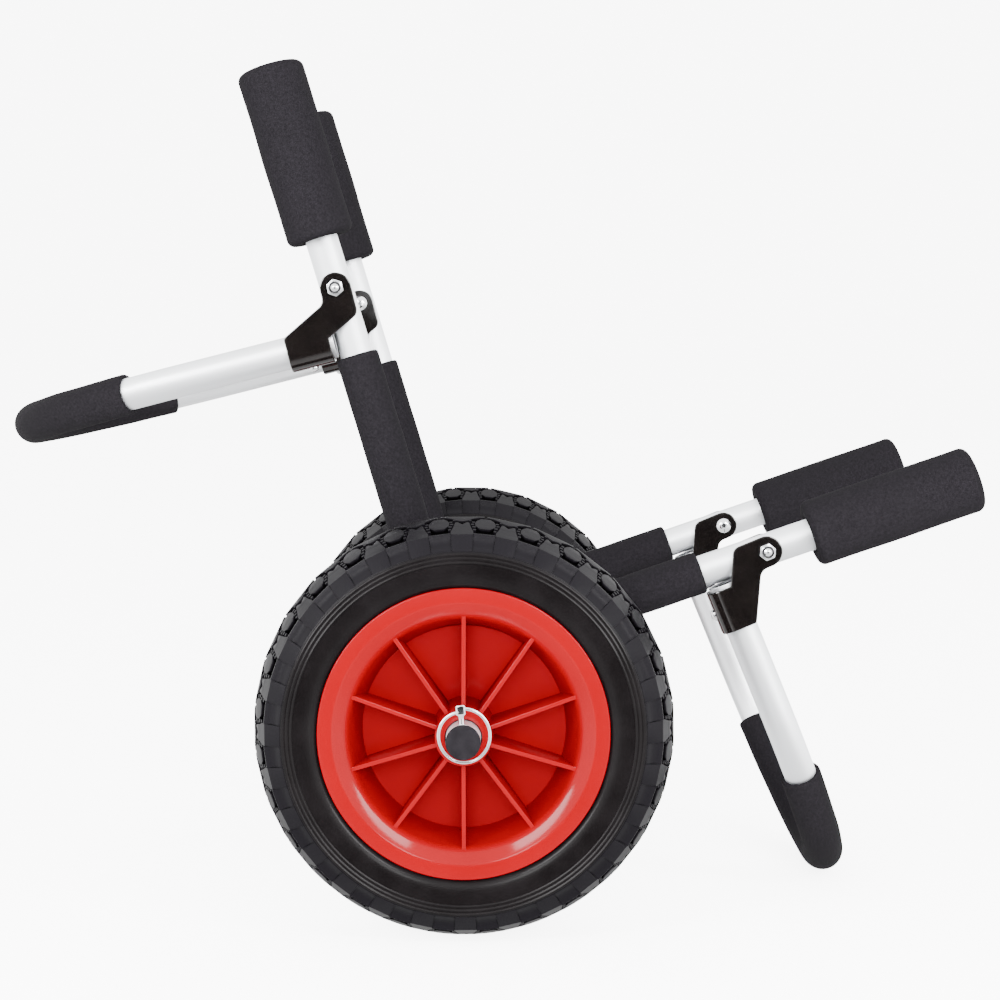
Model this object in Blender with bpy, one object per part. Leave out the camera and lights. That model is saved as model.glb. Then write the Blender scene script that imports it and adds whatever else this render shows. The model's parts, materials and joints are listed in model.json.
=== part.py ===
"""Paddleboard cart: two wheels on an axle, two L-shaped side frames with foam sleeves, two folding hoop legs.

Metres, +Z up. The axle lies along Y, the cart rolls along X. "Near" is the -Y side, "far" the +Y side.
The origin is on the ground, under the middle of the cart's outline.
"""

import math

import bmesh
import bpy
from mathutils import Matrix, Vector

# Clearances
touch_gap = 0.0003
sleeve_fit = 0.0004
tyre_fit = 0.0005
bolt_fit = 0.0003
bush_fit = 0.0003
pin_fit = 0.0003
ring_fit = 0.0003
fold_gap = 0.0003

# Aluminium tube, the same stock everywhere
tube_outer_radius = 0.0105
tube_wall = 0.0015
tube_sides = 16
drill_sides = 12

# Side frames
arm_half_spacing = 0.1275
upright_angle = math.radians(106.85)
cradle_angle = math.radians(19.0)
cradle_height_over_axle = 0.0355
upright_pivot_distance = 0.2855
cradle_pivot_distance = 0.2175
upright_grip_start_past_pivot = 0.0333
upright_grip_length = 0.1142
cradle_grip_start_past_pivot = 0.0308
cradle_grip_length = 0.1132
grip_radius = 0.0218
grip_edge_radius = 0.004
grip_overhang = 0.002
grip_sides = 16
sleeve_radius = 0.0139
sleeve_edge_radius = 0.0015
upright_sleeve_end_before_pivot = 0.048
cradle_sleeve_end_before_pivot = 0.0436
upright_sleeve_start_above_cradle = 0.005
cradle_sleeve_start_off_upright = 0.005

# Plugs in the tube ends
plug_length = 0.012
plug_recess = 0.001
cap_head = 0.0015

# Axle, its caps, spacers and linch pins
spacer_radius = 0.0165
spacer_length = 0.0044
axle_past_hub = 0.0177
axle_cap_thickness = 0.0018
axle_cap_edge = 0.0005
axle_cap_depth = 0.010
linch_pin_inset = 0.005
linch_pin_radius = 0.0019
linch_pin_tip_depth = 0.0102
linch_pin_tip_radius = 0.0011
linch_head_bottom = 0.0168
linch_head_height = 0.005
linch_head_width = 0.0054
linch_head_edge = 0.0007
linch_bore_radius = 0.0017
linch_bore_depth = 0.0012
ring_wire_radius = 0.00105
ring_mean_radius = 0.01615
ring_pivot_height = 0.0193
ring_drop = 0.0002
ring_stub_depth = 0.0016
ring_hinge_tilt = math.radians(20.0)
ring_bend_span = math.radians(35.0)
ring_steps = 20
ring_sides = 6
ring_eye_sides = 10

# Wheel
wheel_radius = 0.131
tyre_half_width = 0.039
tyre_lip_height = 0.0015
tyre_lip_proud = 0.0006
tyre_wall_height = 0.0155
tyre_buttress_drop = 0.0198
tyre_buttress_inset = 0.0010
tyre_shoulder_drop = 0.0098
tyre_shoulder_inset = 0.0095
tyre_crown_drop = 0.0036
tyre_crown_inset = 0.0240
tyre_middle_half_width = 0.003
tread_pitches = 28
tread_zigzag = 0.0022
rim_sides = 30
rim_half_width = 0.0358
rim_flange_thickness = 0.0029
rim_seat_radius = 0.0762
rim_flange_height = 0.0129
rim_lip_step = 0.0028
rim_seat_wall = 0.0053
rim_well_drop = 0.0076
rim_well_wall = 0.0056
rim_well_half_width = 0.007
bowl_rim_depth = 0.0052
disc_half_thickness = 0.0035
hub_half_length = 0.047
hub_radius = 0.0172
hub_flare = 0.0045
rib_count = 10
rib_thickness = 0.0031
rib_drop_at_hub = 0.005
rib_bite = 0.0018
bush_wall = 0.0016
bush_length = 0.018
bush_recess = 0.0004
bush_sides = 16

# Folding hoop legs
leg_offset_from_pivot = 0.0325
left_leg_angle_from_arm = math.radians(87.35)
right_leg_angle_from_arm = math.radians(86.7)
left_hoop_straight = 0.1077
hoop_steps = 16
hoop_sides = 12
hoop_sleeve_bare_steps = 2
hoop_sleeve_radius = 0.0135

# Folded steel brackets
bracket_thickness = 0.002
bracket_ear_radius = 0.010
bracket_heel = 0.0193
bracket_web_start = 0.0121
bracket_throat = 0.0026
bracket_reach = 0.0399
bracket_toe_height = 0.0094
bracket_crook = 0.0247
bracket_fold_radius = 0.0048
bracket_crook_radius = 0.007
bracket_heel_radius = 0.006
bracket_toe_radius = 0.002

# Pivot bolts, lock nuts and the screws through the brackets' webs
bolt_radius = 0.003
bolt_head_radius = 0.0056
bolt_head_height = 0.0036
bolt_head_flat_radius = 0.0025
bolt_head_crown_radius = 0.0048
bolt_head_crown_height = 0.0025
bolt_head_rim_height = 0.0011
bolt_sides = 12
nut_across_flats = 0.010
nut_hex_height = 0.0044
nut_collar_height = 0.0016
nut_collar_radius = 0.0043
nut_collar_edge_radius = 0.0040
left_nut_turn = math.radians(12.0)
right_nut_turn = math.radians(-8.0)
bolt_end_proud = 0.0007
bolt_end_chamfer = 0.0006
web_screw_place = 0.027
web_screw_radius = 0.002
web_screw_length = 0.009
web_screw_head_radius = 0.004
web_screw_head_height = 0.0026
web_screw_head_flat_radius = 0.0024
web_screw_head_rim_height = 0.0010

# Sizes that follow from the ones above
tube_inner_radius = tube_outer_radius - tube_wall
wheel_half_track = arm_half_spacing + tube_outer_radius + spacer_length + 2 * touch_gap + hub_half_length
axle_end = wheel_half_track + hub_half_length + axle_past_hub
rim_lip_radius = rim_seat_radius + rim_flange_height
rim_lip_inner_radius = rim_seat_radius + rim_lip_step
rim_well_radius = rim_seat_radius - rim_well_drop
bowl_rim_radius = rim_seat_radius - rim_seat_wall
bowl_floor_radius = rim_well_radius - rim_well_wall
axle_height = wheel_radius * math.cos(math.pi / (2 * tread_pitches))
hub_bore_radius = tube_outer_radius + bush_fit + bush_wall + bush_fit
bracket_inner_half = tube_outer_radius + fold_gap
bracket_outer_half = bracket_inner_half + bracket_thickness
hoop_radius = arm_half_spacing
axle_tube_end = axle_end - axle_cap_thickness - touch_gap
leg_drop_angle = math.pi / 2 - max(left_leg_angle_from_arm, right_leg_angle_from_arm)
leg_end = (
    tube_outer_radius / math.cos(leg_drop_angle)
    - (leg_offset_from_pivot - tube_outer_radius) * math.tan(leg_drop_angle)
    + fold_gap
)

OUT_Y = {"near": -1, "far": 1}


def direction(angle):
    """Unit vector in the XZ plane, measured from +X towards +Z."""
    return Vector((math.cos(angle), 0, math.sin(angle)))


upright_axis = direction(upright_angle)
cradle_axis = direction(cradle_angle)
cradle_foot = direction(cradle_angle + math.pi / 2) * cradle_height_over_axle
left_pivot = upright_axis * upright_pivot_distance
right_pivot = cradle_foot + cradle_axis * cradle_pivot_distance
left_leg_angle = upright_angle + left_leg_angle_from_arm
right_leg_angle = cradle_angle - right_leg_angle_from_arm


def floor_hoop_straight():
    """Straight length of the right leg, so that its padded bend just reaches the ground."""
    across = direction(right_leg_angle + math.pi / 2)
    foot_height = axle_height + right_pivot.z - leg_offset_from_pivot * across.z
    reach = (foot_height - hoop_sleeve_radius) / -direction(right_leg_angle).z
    return reach - hoop_radius


right_hoop_straight = floor_hoop_straight()


def outline_middle():
    """X of the middle of the whole outline: left leg's padded end to the cradle grips' tips."""
    across = direction(left_leg_angle - math.pi / 2)
    foot = left_pivot - across * leg_offset_from_pivot
    left = foot + direction(left_leg_angle) * (left_hoop_straight + hoop_radius)
    tip = right_pivot + cradle_axis * (cradle_grip_start_past_pivot + cradle_grip_length)
    low = tip - grip_edge_radius * cradle_axis
    right = low.x + (grip_radius - grip_edge_radius) * math.sin(cradle_angle) + grip_edge_radius
    return (left.x - hoop_sleeve_radius + right) / 2


# Materials: colour, roughness, metallic
FINISHES = {
    "satin_aluminium": ((0.80, 0.81, 0.83), 0.38, 1.0),
    "charcoal_foam": ((0.030, 0.028, 0.032), 0.92, 0.0),
    "black_paint": ((0.010, 0.009, 0.009), 0.30, 0.0),
    "bright_zinc": ((0.75, 0.76, 0.78), 0.22, 1.0),
    "black_plastic": ((0.045, 0.043, 0.046), 0.50, 0.0),
    "red_plastic": ((0.85, 0.004, 0.004), 0.32, 0.0),
    "tyre_rubber": ((0.018, 0.017, 0.019), 0.55, 0.0),
}


def material(name):
    """The named material, made on first use."""
    found = bpy.data.materials.get(name)
    if found:
        return found
    colour, roughness, metallic = FINISHES[name]
    made = bpy.data.materials.new(name)
    made.use_nodes = True
    shader = made.node_tree.nodes["Principled BSDF"]
    shader.inputs["Base Color"].default_value = (*colour, 1)
    shader.inputs["Roughness"].default_value = roughness
    shader.inputs["Metallic"].default_value = metallic
    made.diffuse_color = (*colour, 1)
    return made


def clear_scene():
    for item in list(bpy.data.objects):
        bpy.data.objects.remove(item, do_unlink=True)


def add_object(name, data, parent=None, place=None):
    """Link an object to the scene under its parent, at a place in the parent's own frame."""
    item = bpy.data.objects.new(name, data)
    bpy.context.scene.collection.objects.link(item)
    item.parent = parent
    if place is not None:
        item.matrix_basis = place
    return item


def finished(bm, name):
    """A mesh from a bmesh, welded, facing out and shaded smooth up to 40 degrees."""
    bmesh.ops.remove_doubles(bm, verts=bm.verts, dist=1e-7)
    bmesh.ops.recalc_face_normals(bm, faces=bm.faces)
    mesh = bpy.data.meshes.new(name)
    bm.to_mesh(mesh)
    bm.free()
    mesh.shade_smooth()
    mesh.set_sharp_from_angle(angle=math.radians(40))
    return mesh


def piece(name, bm, finish, parent, place=None):
    """One finished solid of the cart."""
    mesh = finished(bm, name)
    mesh.materials.append(material(finish))
    return add_object(name, mesh, parent, place)


def boolean(item, tool_bm, operation="DIFFERENCE"):
    """Cut item by, or join it to, the shape in tool_bm, which lies in item's own frame."""
    tool = add_object(item.name + "_tool", finished(tool_bm, "tool"))
    tool.matrix_world = Matrix.Identity(4)
    parent, place = item.parent, item.matrix_basis.copy()
    item.parent = None
    item.matrix_world = Matrix.Identity(4)
    step = item.modifiers.new("shape", "BOOLEAN")
    step.operation = operation
    step.solver = "EXACT"
    step.object = tool
    bpy.context.view_layer.update()
    view = bpy.context.evaluated_depsgraph_get()
    old = item.data
    item.data = bpy.data.meshes.new_from_object(item.evaluated_get(view))
    item.data.name = old.name
    item.modifiers.clear()
    bpy.data.objects.remove(tool, do_unlink=True)
    bpy.data.meshes.remove(old)
    item.parent = parent
    item.matrix_basis = place


def turned(profile, sides, axis="Z", closed=True, start=0.0):
    """A profile of (radius, height) points turned round the Z or the Y axis."""
    along = Vector((0, 0, 1)) if axis == "Z" else Vector((0, 1, 0))
    out = Matrix.Rotation(start, 3, along) @ Vector((1, 0, 0))
    bm = bmesh.new()
    points = [bm.verts.new(out * r + along * h) for r, h in profile]
    pairs = list(zip(points, points[1:]))
    if closed:
        pairs.append((points[-1], points[0]))
    edges = [bm.edges.new(pair) for pair in pairs]
    bmesh.ops.spin(
        bm, geom=points + edges, cent=(0, 0, 0), axis=along, angle=math.tau, steps=sides, use_merge=True,
    )
    return bm


def ring_profile(inner, outer, low, high, edge=0.0, steps=2):
    """The wall of a sleeve from low to high, with its two outer edges rounded."""
    points = [(inner, high), (inner, low)]
    if edge <= 0:
        return points + [(outer, low), (outer, high)]
    for i in range(steps + 1):
        turn = i / steps * math.pi / 2
        points.append((outer - edge + edge * math.sin(turn), low + edge - edge * math.cos(turn)))
    for i in range(steps + 1):
        turn = i / steps * math.pi / 2
        points.append((outer - edge + edge * math.cos(turn), high - edge + edge * math.sin(turn)))
    return points


def rod(radius, low, high, sides, axis="Z"):
    """A plain solid cylinder between two heights on its axis."""
    return turned([(0, low), (radius, low), (radius, high), (0, high)], sides, axis, closed=False)


def moved(bm, matrix):
    bmesh.ops.transform(bm, matrix=matrix, verts=bm.verts)
    return bm


def joined(first, second):
    """Both shapes in one bmesh."""
    mesh = bpy.data.meshes.new("join")
    second.to_mesh(mesh)
    second.free()
    first.from_mesh(mesh)
    bpy.data.meshes.remove(mesh)
    return first


def block(low, high):
    """A box between two corners."""
    size = [b - a for a, b in zip(low, high)]
    middle = [(a + b) / 2 for a, b in zip(low, high)]
    bm = bmesh.new()
    bmesh.ops.create_cube(bm, size=1, matrix=Matrix.Translation(middle) @ Matrix.Diagonal((*size, 1)))
    return bm


def rounded_outline(corners, steps=4):
    """Points round a polygon whose corners are (x, z, radius); a radius of 0 stays sharp."""
    points = []
    for i, (x, z, radius) in enumerate(corners):
        here = Vector((x, z))
        back = (Vector(corners[i - 1][:2]) - here).normalized()
        ahead = (Vector(corners[(i + 1) % len(corners)][:2]) - here).normalized()
        if radius <= 0:
            points.append(here)
            continue
        half = back.angle(ahead) / 2
        middle = here + (back + ahead).normalized() * radius / math.sin(half)
        start = here + back * radius / math.tan(half) - middle
        sweep = start.angle_signed(here + ahead * radius / math.tan(half) - middle)
        for step in range(steps + 1):
            points.append(middle + Matrix.Rotation(-sweep * step / steps, 2) @ start)
    return points


def plate(points, low, high):
    """An outline in XZ given thickness from low to high in Y."""
    bm = bmesh.new()
    face = bm.faces.new([bm.verts.new((p.x, low, p.y)) for p in points])
    grown = bmesh.ops.extrude_face_region(bm, geom=[face])
    raised = [v for v in grown["geom"] if isinstance(v, bmesh.types.BMVert)]
    bmesh.ops.translate(bm, verts=raised, vec=(0, high - low, 0))
    return bm


def arm_place(axis, side):
    """Frame of an arm: Z along the tube from the foot of its axis, at its place across the cart."""
    turn = Vector((0, 0, 1)).rotation_difference(axis).to_matrix().to_4x4()
    return Matrix.Translation((0, OUT_Y[side] * arm_half_spacing, 0)) @ turn


def build_arm(name, side, axis, foot, start, pivot, grip_low, grip_length, sleeve_start, sleeve_end, root):
    """One tube of a side frame with its grip, sleeve, end cap, and the hole for its pivot bolt."""
    place = Matrix.Translation(foot) @ arm_place(axis, side)
    end = grip_low + grip_length - grip_overhang
    tube = piece(
        f"{name}_tube_{side}",
        turned(ring_profile(tube_inner_radius, tube_outer_radius, start, end), tube_sides),
        "satin_aluminium", root, place,
    )
    drill = rod(bolt_radius + bolt_fit, -2 * tube_outer_radius, 2 * tube_outer_radius, bolt_sides, "Y")
    boolean(tube, moved(drill, Matrix.Translation((0, 0, pivot))))
    bore = tube_outer_radius + sleeve_fit
    grip = ring_profile(bore, grip_radius, grip_low, grip_low + grip_length, grip_edge_radius)
    piece(f"{name}_grip_{side}", turned(grip, grip_sides), "charcoal_foam", root, place)
    sleeve = ring_profile(bore, sleeve_radius, sleeve_start, sleeve_end, sleeve_edge_radius, 1)
    piece(f"{name}_sleeve_{side}", turned(sleeve, tube_sides), "charcoal_foam", root, place)
    body = tube_inner_radius - touch_gap
    cap = [(0, end - plug_length), (body, end - plug_length), (body, end + touch_gap)]
    cap += [(tube_outer_radius, end + touch_gap), (tube_outer_radius, end + cap_head), (0, end + cap_head)]
    piece(f"{name}_cap_{side}", turned(cap, tube_sides, closed=False), "black_plastic", root, place)
    return tube


def saddle(along, radius, place):
    """A round cutter, longer than a tube is wide, for the mouth where one tube is welded to another."""
    turn = Vector((0, 0, 1)).rotation_difference(along).to_matrix().to_4x4()
    reach = 4 * tube_outer_radius
    return moved(rod(radius, -reach, reach, tube_sides), Matrix.Translation(place) @ turn)


def build_side_frame(side, root):
    """The L of upright and cradle tube, each mitred to what it is welded to."""
    mouth = tube_outer_radius + touch_gap
    joint = cradle_height_over_axle / math.sin(upright_angle - cradle_angle)
    upright = build_arm(
        "upright", side, upright_axis, Vector((0, 0, 0)), 0.0, upright_pivot_distance,
        upright_pivot_distance + upright_grip_start_past_pivot, upright_grip_length,
        joint + tube_outer_radius + upright_sleeve_start_above_cradle,
        upright_pivot_distance - upright_sleeve_end_before_pivot, root,
    )
    turn = arm_place(upright_axis, side).to_3x3().inverted()
    boolean(upright, saddle(turn @ Vector((0, 1, 0)), mouth, (0, 0, 0)))
    start = (upright_axis * joint - cradle_foot).dot(cradle_axis)
    cradle = build_arm(
        "cradle", side, cradle_axis, cradle_foot, start, cradle_pivot_distance,
        cradle_pivot_distance + cradle_grip_start_past_pivot, cradle_grip_length,
        start + tube_outer_radius + cradle_sleeve_start_off_upright,
        cradle_pivot_distance - cradle_sleeve_end_before_pivot, root,
    )
    turn = arm_place(cradle_axis, side).to_3x3().inverted()
    boolean(cradle, saddle(turn @ upright_axis, mouth, (0, 0, start)))


def build_axle(root):
    """The axle tube, drilled near each end for a linch pin."""
    wall = ring_profile(tube_inner_radius, tube_outer_radius, -axle_tube_end, axle_tube_end)
    axle = piece("axle_tube", turned(wall, tube_sides, "Y"), "satin_aluminium", root)
    for side, out in OUT_Y.items():
        centre = out * (axle_end - linch_pin_inset)
        drill = rod(linch_pin_radius + pin_fit, -2 * tube_outer_radius, 2 * tube_outer_radius, drill_sides)
        boolean(axle, moved(drill, Matrix.Translation((0, centre, 0))))
        build_axle_end(side, out, root)


def build_axle_end(side, out, root):
    """End cap, linch pin and spacer of one axle end."""
    depth = axle_end - axle_cap_depth
    shoulder = axle_end - axle_cap_thickness
    body = tube_inner_radius - touch_gap
    cap = [(0, depth), (body, depth), (body, shoulder), (tube_outer_radius, shoulder)]
    cap += [(tube_outer_radius, axle_end - axle_cap_edge), (tube_outer_radius - axle_cap_edge, axle_end)]
    cap += [(0, axle_end)]
    cap = [(r, out * y) for r, y in cap]
    item = piece(f"axle_cap_{side}", turned(cap, tube_sides, "Y", closed=False), "black_plastic", root)
    drill = rod(linch_pin_radius + pin_fit, -2 * tube_outer_radius, 2 * tube_outer_radius, drill_sides)
    boolean(item, moved(drill, Matrix.Translation((0, out * (axle_end - linch_pin_inset), 0))))
    place = Matrix.Translation((0, out * (axle_end - linch_pin_inset), 0))
    build_linch_pin(side, place, root)
    inner = arm_half_spacing + tube_outer_radius + touch_gap
    ring = ring_profile(tube_outer_radius + bush_fit, spacer_radius, inner, inner + spacer_length)
    ring = [(r, out * y) for r, y in ring]
    piece(f"axle_spacer_{side}", turned(ring, tube_sides, "Y"), "black_plastic", root)


def build_linch_pin(side, place, root):
    """A straight pin with a block head, and the wire ring that swings over the axle's end."""
    top = linch_head_bottom + linch_head_height
    half = linch_head_width / 2
    head = block((-half, -half, linch_head_bottom), (half, half, top))
    bmesh.ops.bevel(
        head, geom=head.edges[:], affect="EDGES", offset=linch_head_edge, segments=1, profile=0.5,
        material=-1,
    )
    pin = piece(f"linch_pin_{side}", head, "bright_zinc", root, place)
    buried = linch_head_bottom + linch_head_height / 4
    shank = [(0, -linch_pin_tip_depth), (linch_pin_tip_radius, -linch_pin_tip_depth)]
    shank += [(linch_pin_radius, linch_pin_radius - linch_pin_tip_depth), (linch_pin_radius, buried)]
    shank += [(0, buried)]
    boolean(pin, turned(shank, drill_sides, closed=False), "UNION")
    eye = rod(ring_wire_radius + ring_fit, -linch_head_width, linch_head_width, ring_eye_sides)
    lift = Matrix.Translation((0, 0, ring_pivot_height))
    boolean(pin, moved(eye, lift @ Matrix.Rotation(math.pi / 2 - ring_hinge_tilt, 4, "Y")))
    mouth = OUT_Y[side] * (half - linch_bore_depth)
    bore = rod(linch_bore_radius, mouth, OUT_Y[side] * linch_head_width, drill_sides, "Y")
    boolean(pin, moved(bore, lift))
    hinge = lift @ Matrix.Rotation(-ring_hinge_tilt, 4, "Y")
    pivot = add_object(f"ring_pivot_{side}", None, root, place @ hinge)
    piece(f"linch_ring_{side}", ring_shape(), "bright_zinc", pivot)


def ring_shape():
    """An open ring of wire hung from its slanting hinge, its ends turned in along that hinge."""
    lean = ring_wire_radius * math.sin(ring_hinge_tilt)
    end_x = ring_wire_radius + (linch_head_width / 2 + ring_fit + lean) / math.cos(ring_hinge_tilt)
    middle = -ring_mean_radius + ring_drop
    gap = math.asin(end_x / ring_mean_radius)
    bm = bmesh.new()
    start = Vector((math.sin(gap), 0, math.cos(gap))) * ring_mean_radius + Vector((0, 0, middle))
    inner = linch_head_width / 2 - ring_stub_depth
    turn = Matrix.Translation((inner, 0, 0)) @ Matrix.Rotation(math.pi / 2, 4, "Y")
    loop = bmesh.ops.create_circle(bm, segments=ring_sides, radius=ring_wire_radius, matrix=turn)["verts"]
    edges = list({e for v in loop for e in v.link_edges})
    grown = bmesh.ops.extrude_edge_only(bm, edges=edges)["geom"]
    loop = [v for v in grown if isinstance(v, bmesh.types.BMVert)]
    edges = [e for e in grown if isinstance(e, bmesh.types.BMEdge)]
    edges = [e for e in edges if all(v in loop for v in e.verts)]
    bmesh.ops.translate(bm, verts=loop, vec=(end_x - inner, 0, start.z))
    swept = bmesh.ops.spin(
        bm, geom=loop + edges, cent=(0, 0, middle), axis=(0, 1, 0), angle=math.tau - 2 * gap,
        steps=ring_steps,
    )["geom_last"]
    loop = [v for v in swept if isinstance(v, bmesh.types.BMVert)]
    edges = [e for e in swept if isinstance(e, bmesh.types.BMEdge)]
    grown = bmesh.ops.extrude_edge_only(bm, edges=edges)["geom"]
    loop = [v for v in grown if isinstance(v, bmesh.types.BMVert)]
    bmesh.ops.translate(bm, verts=loop, vec=(end_x - inner, 0, -start.z))
    bmesh.ops.holes_fill(bm, edges=bm.edges)
    for v in bm.verts:
        past_end = abs(math.atan2(v.co.x, v.co.z - middle)) - gap
        share = min(max(past_end / ring_bend_span, 0), 1)
        ease = share * share * (3 - 2 * share)
        v.co = Matrix.Rotation(ring_hinge_tilt * ease, 3, "Y") @ v.co
    return bm


def mirrored(points):
    """Half an outline of (radius, height) points, followed by its mirror image in reverse."""
    return points + [(r, -h) for r, h in reversed(points)]


def rim_profile():
    """Closed outline of the rim's turned body, from the hub bore round to the tyre seat and back."""
    bowl_top = rim_half_width - bowl_rim_depth
    flange_in = rim_half_width - rim_flange_thickness
    front = [
        (hub_bore_radius, hub_half_length),
        (hub_radius, hub_half_length),
        (hub_radius + hub_flare, disc_half_thickness),
        (bowl_floor_radius, disc_half_thickness),
        (bowl_rim_radius, bowl_top),
        (rim_lip_inner_radius, rim_half_width),
        (rim_lip_radius, rim_half_width),
        (rim_lip_radius, flange_in),
        (rim_seat_radius, flange_in),
        (rim_well_radius, rim_well_half_width),
    ]
    return mirrored(front)


def build_rim(side, hub):
    """Rim moulding: hub, disc and bowl turned in one, and ten thin ribs on both faces."""
    rim = piece(f"rim_{side}", turned(rim_profile(), rim_sides, "Y"), "red_plastic", hub)
    bowl_top = rim_half_width - bowl_rim_depth
    hub_end = hub_half_length - rib_drop_at_hub
    inner = (hub_bore_radius + hub_radius) / 2
    outer = bowl_rim_radius + rib_bite
    waist = (bowl_floor_radius + rim_well_radius) / 2
    outline = [(inner, -hub_end), (outer, -bowl_top), (waist, 0), (outer, bowl_top), (inner, hub_end)]
    outline = [Vector(point) for point in outline]
    ribs = bmesh.new()
    for i in range(rib_count):
        rib = plate(outline, -rib_thickness / 2, rib_thickness / 2)
        stand = Matrix(((0, 1, 0, 0), (0, 0, 1, 0), (1, 0, 0, 0), (0, 0, 0, 1)))
        ribs = joined(ribs, moved(rib, Matrix.Rotation(math.tau * i / rib_count, 4, "Y") @ stand))
    boolean(rim, ribs, "UNION")


def tyre_shape():
    """Foam-filled tyre: a turned section whose tread edges step in and out from block to block."""
    flange_in = rim_half_width - rim_flange_thickness - touch_gap
    bead = rim_lip_radius + tyre_fit
    half = [
        (rim_well_radius + tyre_fit, rim_well_half_width, 0),
        (rim_seat_radius + tyre_fit, flange_in, 0),
        (bead, flange_in, 0),
        (bead + tyre_lip_height, rim_half_width + tyre_lip_proud, 0),
        (bead + tyre_wall_height, tyre_half_width, 0),
        (wheel_radius - tyre_buttress_drop, tyre_half_width - tyre_buttress_inset, 0),
        (wheel_radius - tyre_shoulder_drop, tyre_half_width - tyre_shoulder_inset, 1),
        (wheel_radius - tyre_crown_drop, tyre_half_width - tyre_crown_inset, -1),
        (wheel_radius, tyre_middle_half_width, 0),
    ]
    section = half + [(r, -h, -step) for r, h, step in reversed(half)]
    sector = math.pi / tread_pitches
    bm = turned([(r, h) for r, h, _ in section], 2 * tread_pitches, "Y", start=(math.pi - sector) / 2)
    for v in bm.verts:
        radius = math.hypot(v.co.x, v.co.z)
        index = round((math.atan2(v.co.z, v.co.x) + math.pi - sector / 2) / sector)
        for r, h, step in section:
            if step and abs(radius - r) < 1e-6 and abs(v.co.y - h) < 1e-6:
                v.co.y += step * (-1) ** index * tread_zigzag / 2
                break
    return bm


def build_wheel(side, out, root):
    """Tyre, rim and the two bushes in the hub, round a wheel centre on the axle's axis."""
    hub = add_object(f"wheel_centre_{side}", None, root, Matrix.Translation((0, out * wheel_half_track, 0)))
    build_rim(side, hub)
    piece(f"tyre_{side}", tyre_shape(), "tyre_rubber", hub)
    inner = tube_outer_radius + bush_fit
    for name, face in (("outer", out), ("inner", -out)):
        high = hub_half_length - bush_recess
        wall = ring_profile(inner, inner + bush_wall, high - bush_length, high)
        wall = [(r, face * y) for r, y in wall]
        piece(f"hub_bush_{name}_{side}", turned(wall, bush_sides, "Y"), "black_plastic", hub)


def bracket_shape(hand):
    """Folded bracket round the leg's end; X runs down the leg, Z from the leg to the pivot."""
    lift = leg_offset_from_pivot
    ear = bracket_ear_radius
    corners = [
        (-ear, ear, ear),
        (-ear, -bracket_heel, bracket_heel_radius),
        (bracket_web_start, bracket_throat - lift, 0),
        (bracket_web_start, -bracket_outer_half - lift, 0),
        (bracket_reach, -bracket_outer_half - lift, 0),
        (bracket_reach, bracket_toe_height - lift, bracket_toe_radius),
        (ear, bracket_crook - lift, bracket_crook_radius),
        (ear, ear, ear),
    ]
    bm = plate(rounded_outline(corners), -bracket_outer_half, bracket_outer_half)
    low = -bracket_outer_half - lift
    folds = [e for e in bm.edges if all(abs(v.co.z - low) < 1e-6 for v in e.verts)]
    folds = [e for e in folds if abs(e.verts[0].co.y - e.verts[1].co.y) < 1e-6]
    bmesh.ops.bevel(
        bm, geom=folds, affect="EDGES", offset=bracket_fold_radius, segments=3, profile=0.5, material=-1,
    )
    return moved(bm, Matrix.Diagonal((hand, 1, 1, 1)))


def build_bracket(name, side, hand, pivot):
    """The bracket with its channel, pivot hole and screw hole cut, and its web screw."""
    shift = Matrix.Translation((0, OUT_Y[side] * arm_half_spacing, 0))
    item = piece(f"{name}_bracket_{side}", bracket_shape(hand), "black_paint", pivot, shift)
    web = -leg_offset_from_pivot - bracket_inner_half
    channel = block(
        (-2 * bracket_reach, -bracket_inner_half, web),
        (2 * bracket_reach, bracket_inner_half, bracket_inner_half + 2 * bracket_ear_radius),
    )
    folds = [e for e in channel.edges if all(abs(v.co.z - web) < 1e-6 for v in e.verts)]
    folds = [e for e in folds if abs(e.verts[0].co.y - e.verts[1].co.y) < 1e-6]
    bmesh.ops.bevel(
        channel, geom=folds, affect="EDGES", offset=bracket_fold_radius - bracket_thickness, segments=3,
        profile=0.5, material=-1,
    )
    boolean(item, channel)
    reach = 2 * bracket_outer_half
    boolean(item, rod(bolt_radius + bolt_fit, -reach, reach, bolt_sides, "Y"))
    place = Matrix.Translation((hand * web_screw_place, 0, 0))
    boolean(item, moved(rod(web_screw_radius + bolt_fit, 2 * web, web / 2, drill_sides), place))
    outside = web - bracket_thickness - touch_gap
    top = outside - web_screw_head_height
    screw = [(0, top), (web_screw_head_flat_radius, top)]
    screw += [(web_screw_head_radius, outside - web_screw_head_rim_height), (web_screw_head_radius, outside)]
    screw += [(web_screw_radius, outside), (web_screw_radius, outside + web_screw_length)]
    screw += [(0, outside + web_screw_length)]
    screw = turned(screw, bolt_sides, closed=False)
    piece(f"{name}_web_screw_{side}", screw, "bright_zinc", pivot, shift @ place)


def stretched(bm, faces, shift):
    """Extrude a ring of faces by a straight shift and give back its new faces."""
    grown = bmesh.ops.extrude_face_region(bm, geom=faces)["geom"]
    bmesh.ops.translate(bm, verts=[v for v in grown if isinstance(v, bmesh.types.BMVert)], vec=shift)
    return [f for f in grown if isinstance(f, bmesh.types.BMFace)]


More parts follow.
